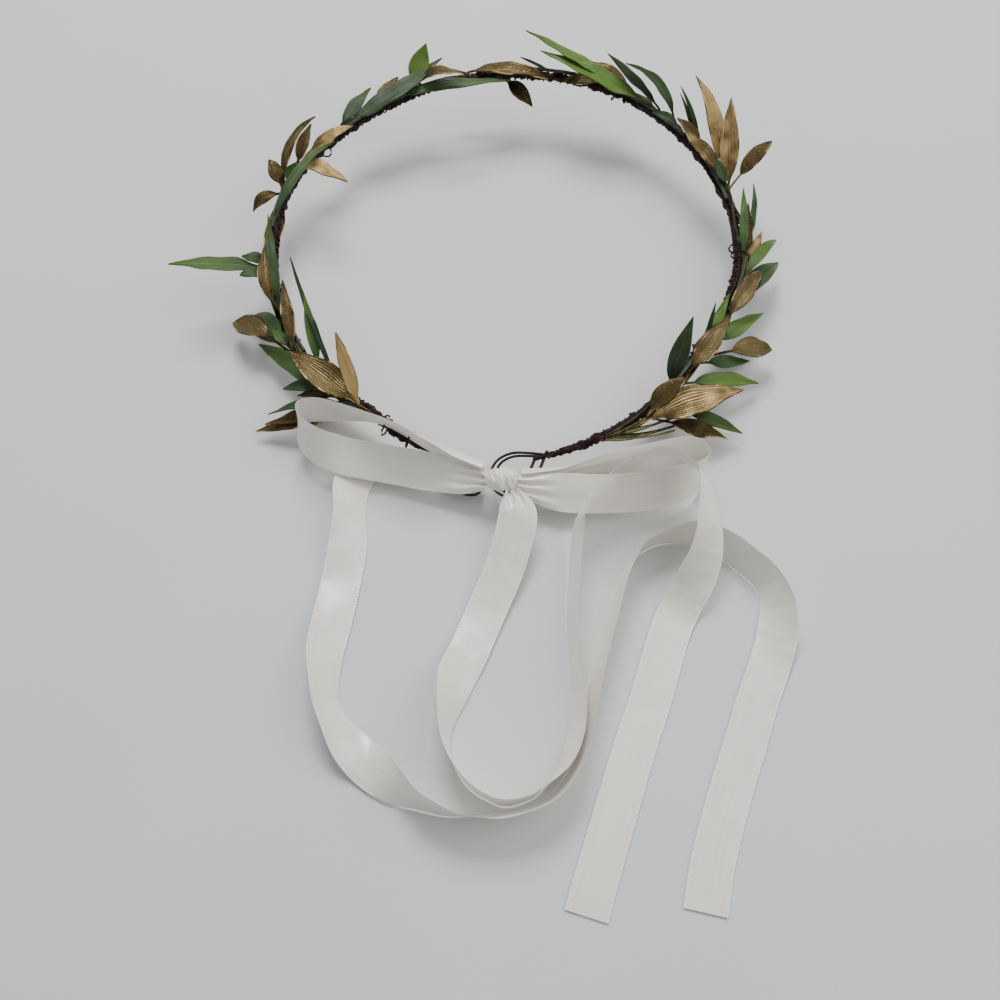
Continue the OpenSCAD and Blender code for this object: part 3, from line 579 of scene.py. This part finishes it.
def moulded_green_leaf():
    """Polyethylene leaf, moulded in a veined tool: satin green, darker at its base and fresh at its tip."""
    tint = colours()
    material, tree = new_material("moulded_green_leaf")
    place = add_node(tree, "ShaderNodeTexCoord").outputs["Object"]
    along, away, tone, veins, streaks = leaf_pattern(tree)
    # Blotches of dye, 6 mm across
    mottle = add_node(tree, "ShaderNodeTexNoise", {"Vector": place, "Scale": 1 / (6 * MM), "Detail": 2})
    shade = shade_by(tree, tone, (mottle, 0.5), (along, 0.45), (streaks, 0.55))
    base = add_node(
        tree, "ShaderNodeValToRGB", {"Fac": shade},
        stops=[(0.05, tint.green_dark), (0.48, tint.green_mid), (0.95, tint.green_bright)],
    )
    groove = add_node(
        tree, "ShaderNodeValToRGB", {"Fac": veins}, stops=[(0, (0.55, 0.55, 0.55, 1)), (0.45, NONE)]
    )
    base = add_node(tree, "ShaderNodeMix", {0: groove, MIX_A: base, MIX_B: tint.green_dark}, data_type="RGBA")
    midrib = add_node(
        tree, "ShaderNodeValToRGB", {"Fac": away}, stops=[(0, (0.4, 0.4, 0.4, 1)), (0.07, NONE)]
    )
    base = add_node(
        tree, "ShaderNodeMix", {0: midrib, MIX_A: base, MIX_B: tint.green_bright}, data_type="RGBA"
    )
    relief = add_node(tree, "ShaderNodeMath", {0: streaks, 1: 0.5, 2: veins}, operation="MULTIPLY_ADD")
    normal = add_node(tree, "ShaderNodeBump", {"Height": relief, "Distance": 0.15 * MM, "Strength": 0.7})
    surface = add_node(
        tree, "ShaderNodeBsdfPrincipled",
        {"Base Color": base, "Normal": normal, "Roughness": 0.38, "IOR": 1.5, "Specular IOR Level": 0.4},
    )
    add_node(tree, "ShaderNodeOutputMaterial", {"Surface": surface})
    return material


def worn_gilt_leaf():
    """Moulded leaf under antique gold paint, rubbed by hand: bright on its ridges, olive in its grooves and
    along its edges, with painted highlights in bright gold patches along its edges."""
    tint = colours()
    material, tree = new_material("worn_gilt_leaf")
    place = add_node(tree, "ShaderNodeTexCoord").outputs["Object"]
    along, away, tone, veins, streaks = leaf_pattern(tree)
    # Clouds of thicker paint, 5 mm across, and brush flecks of 0.6 mm
    cloud = add_node(tree, "ShaderNodeTexNoise", {"Vector": place, "Scale": 1 / (5 * MM), "Detail": 3})
    fleck = add_node(tree, "ShaderNodeTexNoise", {"Vector": place, "Scale": 1 / (0.6 * MM), "Detail": 2})
    shade = shade_by(tree, tone, (cloud, 0.75), (streaks, 0.5), (veins, 0.15), (along, 0.3))
    base = add_node(
        tree, "ShaderNodeValToRGB", {"Fac": shade},
        stops=[(0.05, tint.gilt_dark), (0.42, tint.gilt_mid), (0.72, tint.gilt_mid), (1, tint.gilt_bright)],
    )
    groove = add_node(
        tree, "ShaderNodeValToRGB", {"Fac": veins}, stops=[(0, (0.32, 0.32, 0.32, 1)), (0.25, NONE)]
    )
    base = add_node(tree, "ShaderNodeMix", {0: groove, MIX_A: base, MIX_B: tint.gilt_dark}, data_type="RGBA")
    rubbed = add_node(
        tree, "ShaderNodeValToRGB", {"Fac": fleck}, stops=[(0.6, NONE), (0.7, (0.4, 0.4, 0.4, 1))]
    )
    base = add_node(
        tree, "ShaderNodeMix", {0: rubbed, MIX_A: base, MIX_B: tint.gilt_bright}, data_type="RGBA"
    )
    # Along the edges the colour turns olive where the gilding is thin, and bright gold in patches that are
    # painted highlights
    rim = add_node(
        tree, "ShaderNodeValToRGB", {"Fac": away}, stops=[(0.88, NONE), (0.97, (0.9, 0.9, 0.9, 1))]
    )
    rim_wear_and_highlight = add_node(
        tree, "ShaderNodeValToRGB", {"Fac": cloud}, stops=[(0.5, tint.gilt_dark), (0.6, tint.gilt_bright)]
    )
    base = add_node(tree, "ShaderNodeMix", {0: rim, MIX_A: base, MIX_B: rim_wear_and_highlight}, data_type="RGBA")
    roughness = add_node(
        tree, "ShaderNodeMapRange",
        {"Value": cloud, "From Min": 0.3, "From Max": 0.7, "To Min": 0.28, "To Max": 0.48},
    )
    relief = add_node(tree, "ShaderNodeMath", {0: streaks, 1: 0.7, 2: veins}, operation="MULTIPLY_ADD")
    normal = add_node(tree, "ShaderNodeBump", {"Height": relief, "Distance": 0.2 * MM, "Strength": 0.8})
    surface = add_node(
        tree, "ShaderNodeBsdfPrincipled",
        {"Base Color": base, "Roughness": roughness, "Normal": normal, "Metallic": 0.7},
    )
    add_node(tree, "ShaderNodeOutputMaterial", {"Surface": surface})
    return material


def bound_stems():
    """Waxed paper tape, mossy stems and wire wound on tight: dark maroon to straw by tone, and wrinkled."""
    tint = colours()
    material, tree = new_material("bound_stems")
    place = add_node(tree, "ShaderNodeTexCoord").outputs["Object"]
    tone = add_node(tree, "ShaderNodeAttribute", attribute_name="tone").outputs["Fac"]
    # Stains 3 mm long and wrinkles of 0.5 mm
    stain = add_node(tree, "ShaderNodeTexNoise", {"Vector": place, "Scale": 1 / (3 * MM), "Detail": 3})
    wrinkle = add_node(tree, "ShaderNodeTexNoise", {"Vector": place, "Scale": 1 / (0.5 * MM), "Detail": 4})
    shade = shade_by(tree, tone, (stain, 0.9), (wrinkle, 0.3))
    base = add_node(
        tree, "ShaderNodeValToRGB", {"Fac": shade},
        stops=[(0.25, tint.wire), (0.55, tint.moss), (0.95, tint.straw)],
    )
    normal = add_node(tree, "ShaderNodeBump", {"Height": wrinkle, "Distance": 0.4 * MM, "Strength": 0.9})
    surface = add_node(
        tree, "ShaderNodeBsdfPrincipled",
        {"Base Color": base, "Normal": normal, "Roughness": 0.5, "Specular IOR Level": 0.2},
    )
    add_node(tree, "ShaderNodeOutputMaterial", {"Surface": surface})
    return material


def coated_wire():
    """Steel wire under a smooth dark maroon coat: a narrow gleam runs along it."""
    material, tree = new_material("coated_wire")
    place = add_node(tree, "ShaderNodeTexCoord").outputs["Object"]
    # Shades of the coat 5 mm long and scuffs of 0.6 mm
    shade = add_node(tree, "ShaderNodeTexNoise", {"Vector": place, "Scale": 1 / (5 * MM), "Detail": 2})
    scuff = add_node(tree, "ShaderNodeTexNoise", {"Vector": place, "Scale": 1 / (0.6 * MM), "Detail": 3})
    base = add_node(
        tree, "ShaderNodeValToRGB", {"Fac": shade}, stops=[(0.3, linear("#120B0A")), (0.7, colours().wire)]
    )
    normal = add_node(tree, "ShaderNodeBump", {"Height": scuff, "Distance": 0.05 * MM, "Strength": 0.5})
    surface = add_node(
        tree, "ShaderNodeBsdfPrincipled",
        {"Base Color": base, "Normal": normal, "Roughness": 0.34, "IOR": 1.5},
    )
    add_node(tree, "ShaderNodeOutputMaterial", {"Surface": surface})
    return material


def woven_satin():
    """Polyester satin ribbon: a silky, softly crushed face with the faintest lengthwise threads, and a firm
    beaded selvedge, painted a brighter white as a highlight where it catches the light."""
    tint = colours()
    material, tree = new_material("woven_satin")
    uv, _, away = strip_places(tree)
    width = ribbon_settings().width / MM
    # Threads: u is in mm and v is a share of the width, so that streaks are 20 mm long and 0.6 mm wide
    stretched = add_node(tree, "ShaderNodeMapping", {"Vector": uv, "Scale": (1 / 20, width / 0.6, 1)})
    threads = add_node(tree, "ShaderNodeTexNoise", {"Vector": stretched, "Scale": 1, "Detail": 2})
    # Soft dents of the face, 9 mm long and as wide as the ribbon
    dents = add_node(tree, "ShaderNodeMapping", {"Vector": uv, "Scale": (1 / 9, 1, 1)})
    crush = add_node(tree, "ShaderNodeTexNoise", {"Vector": dents, "Scale": 1, "Detail": 1})
    selvedge = add_node(tree, "ShaderNodeValToRGB", {"Fac": away}, stops=[(0.91, NONE), (0.94, FULL)])
    # Beads of the selvedge, 0.9 mm apart: a wave of scale 1 repeats every 0.314 mm
    beads = add_node(
        tree, "ShaderNodeTexWave", {"Vector": uv, "Scale": 0.314 / 0.9}, bands_direction="X"
    ).outputs["Fac"]
    base = add_node(
        tree, "ShaderNodeValToRGB", {"Fac": threads}, stops=[(0.3, linear("#EFEBE1")), (0.6, tint.satin)]
    )
    # Painted highlight: the selvedge is painted a brighter white
    base = add_node(
        tree, "ShaderNodeMix", {0: selvedge, MIX_A: base, MIX_B: linear("#FDFBF6")}, data_type="RGBA"
    )
    beaded = add_node(tree, "ShaderNodeMath", {0: beads, 1: selvedge}, operation="MULTIPLY")
    relief = add_node(tree, "ShaderNodeMath", {0: threads, 1: 0.12, 2: beaded}, operation="MULTIPLY_ADD")
    relief = add_node(tree, "ShaderNodeMath", {0: crush, 1: 8, 2: relief}, operation="MULTIPLY_ADD")
    normal = add_node(tree, "ShaderNodeBump", {"Height": relief, "Distance": 0.12 * MM, "Strength": 0.8})
    roughness = add_node(
        tree, "ShaderNodeMapRange",
        {"Value": crush, "From Min": 0.3, "From Max": 0.7, "To Min": 0.26, "To Max": 0.36},
    )
    surface = add_node(
        tree, "ShaderNodeBsdfPrincipled",
        {"Base Color": base, "Normal": normal, "Roughness": roughness, "IOR": 1.6, "Specular IOR Level": 0.8,
         "Sheen Weight": 0.25, "Sheen Roughness": 0.35},
    )
    add_node(tree, "ShaderNodeOutputMaterial", {"Surface": surface})
    return material


def painted_board():
    """Matt painted board under the tiara: even and pale."""
    material, tree = new_material("painted_board")
    place = add_node(tree, "ShaderNodeTexCoord").outputs["Object"]
    # Clouds 80 mm across
    cloud = add_node(tree, "ShaderNodeTexNoise", {"Vector": place, "Scale": 1 / (80 * MM), "Detail": 1})
    base = add_node(
        tree, "ShaderNodeValToRGB", {"Fac": cloud}, stops=[(0.3, colours().floor), (0.7, linear("#DDDDDB"))]
    )
    surface = add_node(tree, "ShaderNodeBsdfPrincipled", {"Base Color": base, "Roughness": 0.6})
    add_node(tree, "ShaderNodeOutputMaterial", {"Surface": surface})
    return material


# Pieces


# Half widths of a leaf's stalk and of its tip in mm, and the share of its run that is the twig to its base
STALK_HALF, TIP_HALF = 0.5, 0.12
TWIG_SHARE = 0.1


def leaf_half(width, stalk, s):
    """Half width of a leaf at share s of its length. One with a long stalk has a rounder blade."""
    if s <= stalk:
        return STALK_HALF
    p = (s - stalk) / (1 - stalk)
    swell = math.sin(math.pi * p) ** 0.7 if stalk > 0.3 else math.sin(math.pi * p ** 0.75)
    return STALK_HALF + (TIP_HALF - STALK_HALF) * p + (width / 2 - STALK_HALF) * max(swell, 0)


def lay_leaf(bm, row, stem_side, fold):
    """One leaf: out of the stem, along the bundle to its base, and along its arch to the tip."""
    at, around, out, rise, length, width, arch, roll, stalk, bow, tone = row
    side = side_of(at)
    back = side * (-2 if abs(out) > 120 else 2)
    start, base = stem_point(at - back, stem_side), stem_point(at, around)
    a, e = math.radians(out), math.radians(rise)
    way = math.cos(e) * (math.cos(a) * forward(at) + math.sin(a) * outward(at)) + math.sin(e) * UP
    tip = hoop_point(at) + length * way
    run = (tip - base).normalized()
    sideways = side * run.cross(UP).normalized()
    lift = side * sideways.cross(run)
    ripple = leaf_settings().ripple / MM
    own_noise = Vector((at * 0.37, length * 0.21, 0))

    def middle(u):
        if u < TWIG_SHARE:
            return start.lerp(base, u / TWIG_SHARE)
        s = (u - TWIG_SHARE) / (1 - TWIG_SHARE)
        return base.lerp(tip, s) + (lift * arch + sideways * bow) * 4 * s * (1 - s)

    def place(u, v):
        s = max(u - TWIG_SHARE, 0) / (1 - TWIG_SHARE)
        ahead = (middle(min(u + 0.04, 1)) - middle(max(u - 0.04, 0))).normalized()
        level = side * ahead.cross(UP).normalized()
        up = side * level.cross(ahead)
        tilt = math.radians(roll + 30 * noise.noise(Vector((s * 1.6, 0.3, 2.9)) + own_noise) * s)
        across = math.cos(tilt) * level + math.sin(tilt) * up
        normal = math.cos(tilt) * up - math.sin(tilt) * level
        reach = 2 * v - 1
        half = leaf_half(width, stalk, s)
        body = min(1, max(0, half - STALK_HALF))
        edge = abs(reach) ** 1.5
        wave = noise.noise(Vector((s * length / 7, reach * 0.8, 0)) + own_noise)
        wave *= ripple * (0.4 + edge) * body
        midrib = 0.2 * max(0, 1 - abs(reach) * 4) * body
        return (
            middle(u) + across * half * reach * math.cos(fold)
            + normal * (half * edge * math.sin(fold) + wave - midrib)
        )

    lay_grid(bm, 22, 10, place, tone)


def build_spray(name, rows, fold, material):
    """One spray: its stem along the bundle, with a leaf for each row."""
    (begin, end, side), leaves = rows
    bm = bmesh.new()
    for row in leaves:
        lay_leaf(bm, row, side, fold)
    bmesh.ops.solidify(bm, geom=bm.faces[:], thickness=leaf_settings().thickness)
    columns = max(4, round(abs(end - begin) / 2))
    radius = leaf_settings().stem / MM / 2
    lay_tube(
        bm, columns, 8, lambda u: stem_point(begin + (end - begin) * u, side),
        lambda u, v: radius * (0.85 + 0.3 * noise.noise(Vector((u * columns, v * 6, begin)))), 0.0,
    )
    return finish_mesh(bm, name + "_leaves", material, [name])


class TIARA_OT_green_sprays(bpy.types.Operator):
    """Make the sprays of moulded green leaves"""

    bl_idname = "tiara.green_sprays"
    bl_label = "Green Leaf Sprays"

    def execute(self, context):
        material = moulded_green_leaf()
        for i, rows in enumerate(GREEN_SPRAYS, 1):
            build_spray(f"green_spray_{i}", rows, leaf_settings().green_fold, material)
        return {"FINISHED"}


class TIARA_OT_gilded_sprays(bpy.types.Operator):
    """Make the sprays of worn gilded leaves"""

    bl_idname = "tiara.gilded_sprays"
    bl_label = "Gilded Leaf Sprays"

    def execute(self, context):
        material = worn_gilt_leaf()
        for i, rows in enumerate(GOLD_SPRAYS, 1):
            build_spray(f"gold_spray_{i}", rows, leaf_settings().gold_fold, material)
        return {"FINISHED"}


def bundle_line(u):
    return hoop_point(BUNDLE_FROM + (BUNDLE_TO - BUNDLE_FROM) * u)


def eye_path(table):
    """Points of a wire eye, in mm."""
    hoop = hoop_settings()
    back, height = -hoop.depth / MM / 2, hoop.back_height / MM
    return [(x, back + y, height + z) for x, y, z in table]


class TIARA_OT_bound_hoop(bpy.types.Operator):
    """Make the bound bundle of the hoop with its stems, wound wire and twig stubs"""

    bl_idname = "tiara.bound_hoop"
    bl_label = "Bound Hoop"

    def execute(self, context):
        hoop = hoop_settings()
        radius = hoop.bundle / MM / 2
        span = BUNDLE_TO - BUNDLE_FROM
        run = math.radians(span) * (hoop.width + hoop.depth) / 4 / MM
        turns = run / (hoop.binding_pitch / MM)
        bm = bmesh.new()

        def chance(i, kind):
            """Steady random number from -1 to 1 for the i-th thing of a kind."""
            return 2 * noise.noise(Vector((i * 1.37 + 0.5, kind * 3.1 + 0.5, 0.5)))

        def taper(u):
            """Share of its thickness that the bundle keeps near its ends."""
            return min(1, 0.45 + u * 12, 0.6 + (1 - u) * 16)

        def lumps(u, v):
            """Radius of the bundle with its slow twist and its knobs."""
            a = 2 * math.pi * v
            wound = 0.1 * math.sin(a + 2 * math.pi * u * run / 6)
            knob = 1.3 * noise.noise(Vector((u * run / 2.6, math.cos(a), math.sin(a))))
            return (radius + 0.05 + wound + knob) * taper(u)

        lay_tube(bm, round(run / 0.8), 10, bundle_line, lumps, 0.1)
        for i, (begin, end, around, distance, thick, tone) in enumerate(STEMS):
            def strand(u):
                at = begin + (end - begin) * u
                wander = 110 * noise.noise(Vector((u * abs(end - begin) / 18, i * 2.3, 0)))
                tuck = min(1, u * 5, (1 - u) * 5)
                return beside(at, around + wander, 1 + (distance - 1) * tuck)
            rings = round(abs(end - begin) / 1.5)
            lay_tube(bm, rings, 6, strand, lambda u, v: thick * (1 - 0.4 * u), tone)
        for begin, end, out, drop, thick, tone in LOOSE_STEMS:
            start, bulge = hoop_point(begin), outward(begin) * 1.6
            stop = hoop_point(end) + outward(end) * out - UP * drop
            lay_tube(
                bm, 16, 6, lambda u: start.lerp(stop, u) + bulge * math.sin(math.pi * u),
                lambda u, v: thick * (1.2 - 0.5 * u), tone,
            )

        def wound_wire(u):
            """Uneven turns of the binding wire, some of which stand off."""
            at = BUNDLE_FROM + 1.5 + (span - 3) * u
            a = 360 * (turns * u + 1.3 * noise.noise(Vector((u * turns / 4, 4.2, 0))))
            loose = sum(2.2 * math.exp(-((at - middle) / 0.8) ** 2) for middle in LOOSE_TURNS)
            return beside(at, a, (radius + 0.15) * taper(u) + loose)

        wire = hoop.binding / MM / 2
        lay_tube(bm, round(turns * 10), 5, wound_wire, lambda u, v: wire, 0.05)
        for i in range(STUBS):
            at = BUNDLE_FROM + 4 + (span - 8) * (i + chance(i, 0)) / STUBS
            around = 180 + 170 * chance(i, 1)
            root = beside(at, around, radius * 0.5)
            tip = beside(at + 0.8 * chance(i, 2), around, radius + 0.1 + 1.1 * max(0, chance(i, 3)) ** 2)
            tone = 0.15 + 0.2 * chance(i, 4)
            lay_tube(bm, 3, 6, lambda u: root.lerp(tip, u), lambda u, v: 0.8 - 0.4 * u * u, tone)
        finish_mesh(bm, "hoop_binding", bound_stems(), ["hoop_wire"])
        return {"FINISHED"}


class TIARA_OT_wire_eyes(bpy.types.Operator):
    """Make the two wire eyes at the ends of the hoop, each of two wires side by side"""

    bl_idname = "tiara.wire_eyes"
    bl_label = "Wire Eyes"

    def execute(self, context):
        wire = hoop_settings().eye_wire / MM / 2
        bm = bmesh.new()
        for table, lead in ((RIGHT_EYE, BUNDLE_FROM + 3), (LEFT_EYE, BUNDLE_TO - 3)):
            path = [tuple(hoop_point(lead)), *eye_path(table)]
            for side in (-1, 1):
                def strand(u):
                    here, ahead = Vector(smooth(path, u)), Vector(smooth(path, min(u + 0.01, 1)))
                    behind = Vector(smooth(path, max(u - 0.01, 0)))
                    apart = wire * (0.9 + 0.9 * math.sin(math.pi * u))
                    return here + (ahead - behind).cross(UP).normalized() * side * apart
                lay_tube(bm, 60, 8, strand, lambda u, v: wire, 0.5)
        back, height = -hoop_settings().depth / MM / 2, hoop_settings().back_height / MM
        for x0, y0, x1, y1 in CUT_ENDS:
            start, end = Vector((x0, back + y0, height)), Vector((x1, back + y1, height - 2))
            lay_tube(bm, 6, 8, lambda u: start.lerp(end, u), lambda u, v: wire * 1.2, 0.5)
        finish_mesh(bm, "wire_eyes", coated_wire(), ["hoop_wire"])
        return {"FINISHED"}


def route_length(route):
    """Length in mm of a ribbon's route."""
    points = [Vector(smooth(route, i / 400)[:3]) for i in range(401)]
    return sum((b - a).length for a, b in zip(points, points[1:]))


def build_ribbon(name, route, material):
    """Satin strip along a route, turned by each row's lean, and pleated where it is drawn in."""
    ribbon = ribbon_settings()
    half = ribbon.width / MM / 2
    back = -hoop_settings().depth / MM / 2
    length = route_length(route)

    def middle(u):
        x, y, z = smooth(route, u)[:3]
        return Vector((x, back + y, z))

    def place(u, v):
        here, (lean, share) = middle(u), smooth(route, u)[3:]
        way = (middle(min(u + 0.004, 1)) - middle(max(u - 0.004, 0))).normalized()
        left = UP.cross(way).normalized()
        top = way.cross(left)
        a = math.radians(lean)
        across = math.cos(a) * left + math.sin(a) * top
        over = math.cos(a) * top - math.sin(a) * left
        reach = 1 - 2 * v
        free = min(1, max(0, here.z - 1) / 3)
        wave = noise.noise(Vector((u * length / 14, reach * 0.8, length))) * ribbon.ripple / MM * free
        pleats = math.cos(reach * 3 * math.pi) * ribbon.pleat / MM * max(0, 1 - share) * 2
        return here + across * half * share * reach + over * (wave + pleats)

    bm = bmesh.new()
    lay_grid(bm, round(length / 1.5), 16, place, length=length)
    piece = finish_mesh(bm, name + "_satin", material, [name], ribbon.thickness / MM, 60)
    return piece


class TIARA_OT_ribbon_bow(bpy.types.Operator):
    """Make the two loops, the two tails and the pleated knot of the satin bow"""

    bl_idname = "tiara.ribbon_bow"
    bl_label = "Ribbon Bow"

    def execute(self, context):
        satin = woven_satin()
        for name, route, held in (
            ("bow_loop_left", LOOP_LEFT, "folded"), ("bow_loop_right", LOOP_RIGHT, "folded"),
            ("ribbon_tail_left", TAIL_LEFT, "laid"), ("ribbon_tail_right", TAIL_RIGHT, "laid"),
        ):
            build_ribbon(name, route, satin)
        back = -hoop_settings().depth / MM / 2
        middle_y, middle_z = KNOT_MIDDLE

        def place(u, v):
            x, depth, height = smooth(KNOT, u)
            a = 2 * math.pi * v
            crush = noise.noise(Vector((x * 0.6, math.cos(a) * 1.3, math.sin(a) * 1.3)))
            crease = 1 - 2 * abs(noise.noise(Vector((x * 0.55 + 0.6 * math.sin(a), math.cos(a) * 0.8, 4.1))))
            pleats = 0.92 + 0.16 * crease + 0.2 * crush + 0.05 * math.sin(u * 40 + 5 * crush)
            return Vector((
                x + 0.5 * crush, back + middle_y + depth * math.cos(a) * pleats,
                middle_z + height * math.sin(a) * pleats,
            ))

        bm = bmesh.new()
        close_tube(bm, lay_grid(bm, 72, 60, place, length=KNOT_LENGTH))
        finish_mesh(bm, "knot_satin", satin, ["bow_knot"], crease=60)
        return {"FINISHED"}


# Soft lights, in metres and watts: (name, place, size, power), and the point that they face
LIGHTS = (("key_window", (-0.1, 0.95, 1.3), 0.7, 21), ("side_fill", (1.0, 0.0, 1.1), 1.2, 9))
LIT_MIDDLE = Vector((0, -0.05, 0))


class TIARA_OT_stage(bpy.types.Operator):
    """Make the pale floor, the soft lights and the camera"""

    bl_idname = "tiara.stage"
    bl_label = "Stage"

    def execute(self, context):
        scene = context.scene
        bm = bmesh.new()
        bmesh.ops.create_grid(bm, x_segments=1, y_segments=1, size=2)
        bmesh.ops.translate(bm, verts=bm.verts[:], vec=(0, 0, -0.1 * MM))
        mesh = bpy.data.meshes.new("floor")
        bm.to_mesh(mesh)
        bm.free()
        floor = bpy.data.objects.new("floor", mesh)
        mesh.materials.append(painted_board())
        scene.collection.objects.link(floor)

        world = bpy.data.worlds.new("studio")
        world.use_nodes = True
        background = world.node_tree.nodes["Background"]
        background.inputs["Color"].default_value = linear("#F4F6FA")
        background.inputs["Strength"].default_value = 0.48
        scene.world = world
        for name, place, size, watts in LIGHTS:
            light = bpy.data.lights.new(name, "AREA")
            light.size = size
            light.energy = watts
            lamp = bpy.data.objects.new(name, light)
            lamp.location = place
            lamp.rotation_euler = (LIT_MIDDLE - Vector(place)).to_track_quat("-Z", "Y").to_euler()
            scene.collection.objects.link(lamp)

        camera = bpy.data.objects.new("camera", bpy.data.cameras.new("camera"))
        camera.data.sensor_width = 36
        camera.data.lens = 43.2
        camera.location = (-0.0022, -0.300, 0.350)
        camera.rotation_euler = (math.radians(30), 0, 0)
        scene.collection.objects.link(camera)
        scene.camera = camera
        return {"FINISHED"}


OPERATORS = (
    TIARA_OT_stage, TIARA_OT_ribbon_bow, TIARA_OT_bound_hoop, TIARA_OT_wire_eyes,
    TIARA_OT_green_sprays, TIARA_OT_gilded_sprays,
)


class TIARA_PT_pieces(bpy.types.Panel):
    """Sizes, colours and pieces of the tiara"""

    bl_label = "Leaf Tiara"
    bl_idname = "TIARA_PT_pieces"
    bl_space_type = "VIEW_3D"
    bl_region_type = "UI"
    bl_category = "Leaf Tiara"

    def draw(self, context):
        for group in (hoop_settings(), leaf_settings(), ribbon_settings(), colours()):
            box = self.layout.box()
            for name in group.__annotations__:
                box.prop(group, name)
        for operator in OPERATORS:
            self.layout.operator(operator.bl_idname)


GROUPS = {
    "tiara_hoop": HoopSettings,
    "tiara_leaves": LeafSettings,
    "tiara_ribbon": RibbonSettings,
    "tiara_colours": ColourSettings,
}


def register():
    for name, group in GROUPS.items():
        bpy.utils.register_class(group)
        setattr(bpy.types.Scene, name, PointerProperty(type=group))
    for operator in OPERATORS:
        bpy.utils.register_class(operator)
    bpy.utils.register_class(TIARA_PT_pieces)


def unregister():
    bpy.utils.unregister_class(TIARA_PT_pieces)
    for operator in reversed(OPERATORS):
        bpy.utils.unregister_class(operator)
    for name, group in reversed(GROUPS.items()):
        delattr(bpy.types.Scene, name)
        bpy.utils.unregister_class(group)


def main():
    register()
    bpy.ops.tiara.stage()
    bpy.ops.tiara.ribbon_bow()
    bpy.ops.tiara.bound_hoop()
    bpy.ops.tiara.wire_eyes()
    bpy.ops.tiara.green_sprays()
    bpy.ops.tiara.gilded_sprays()


if __name__ == "__main__":
    main()
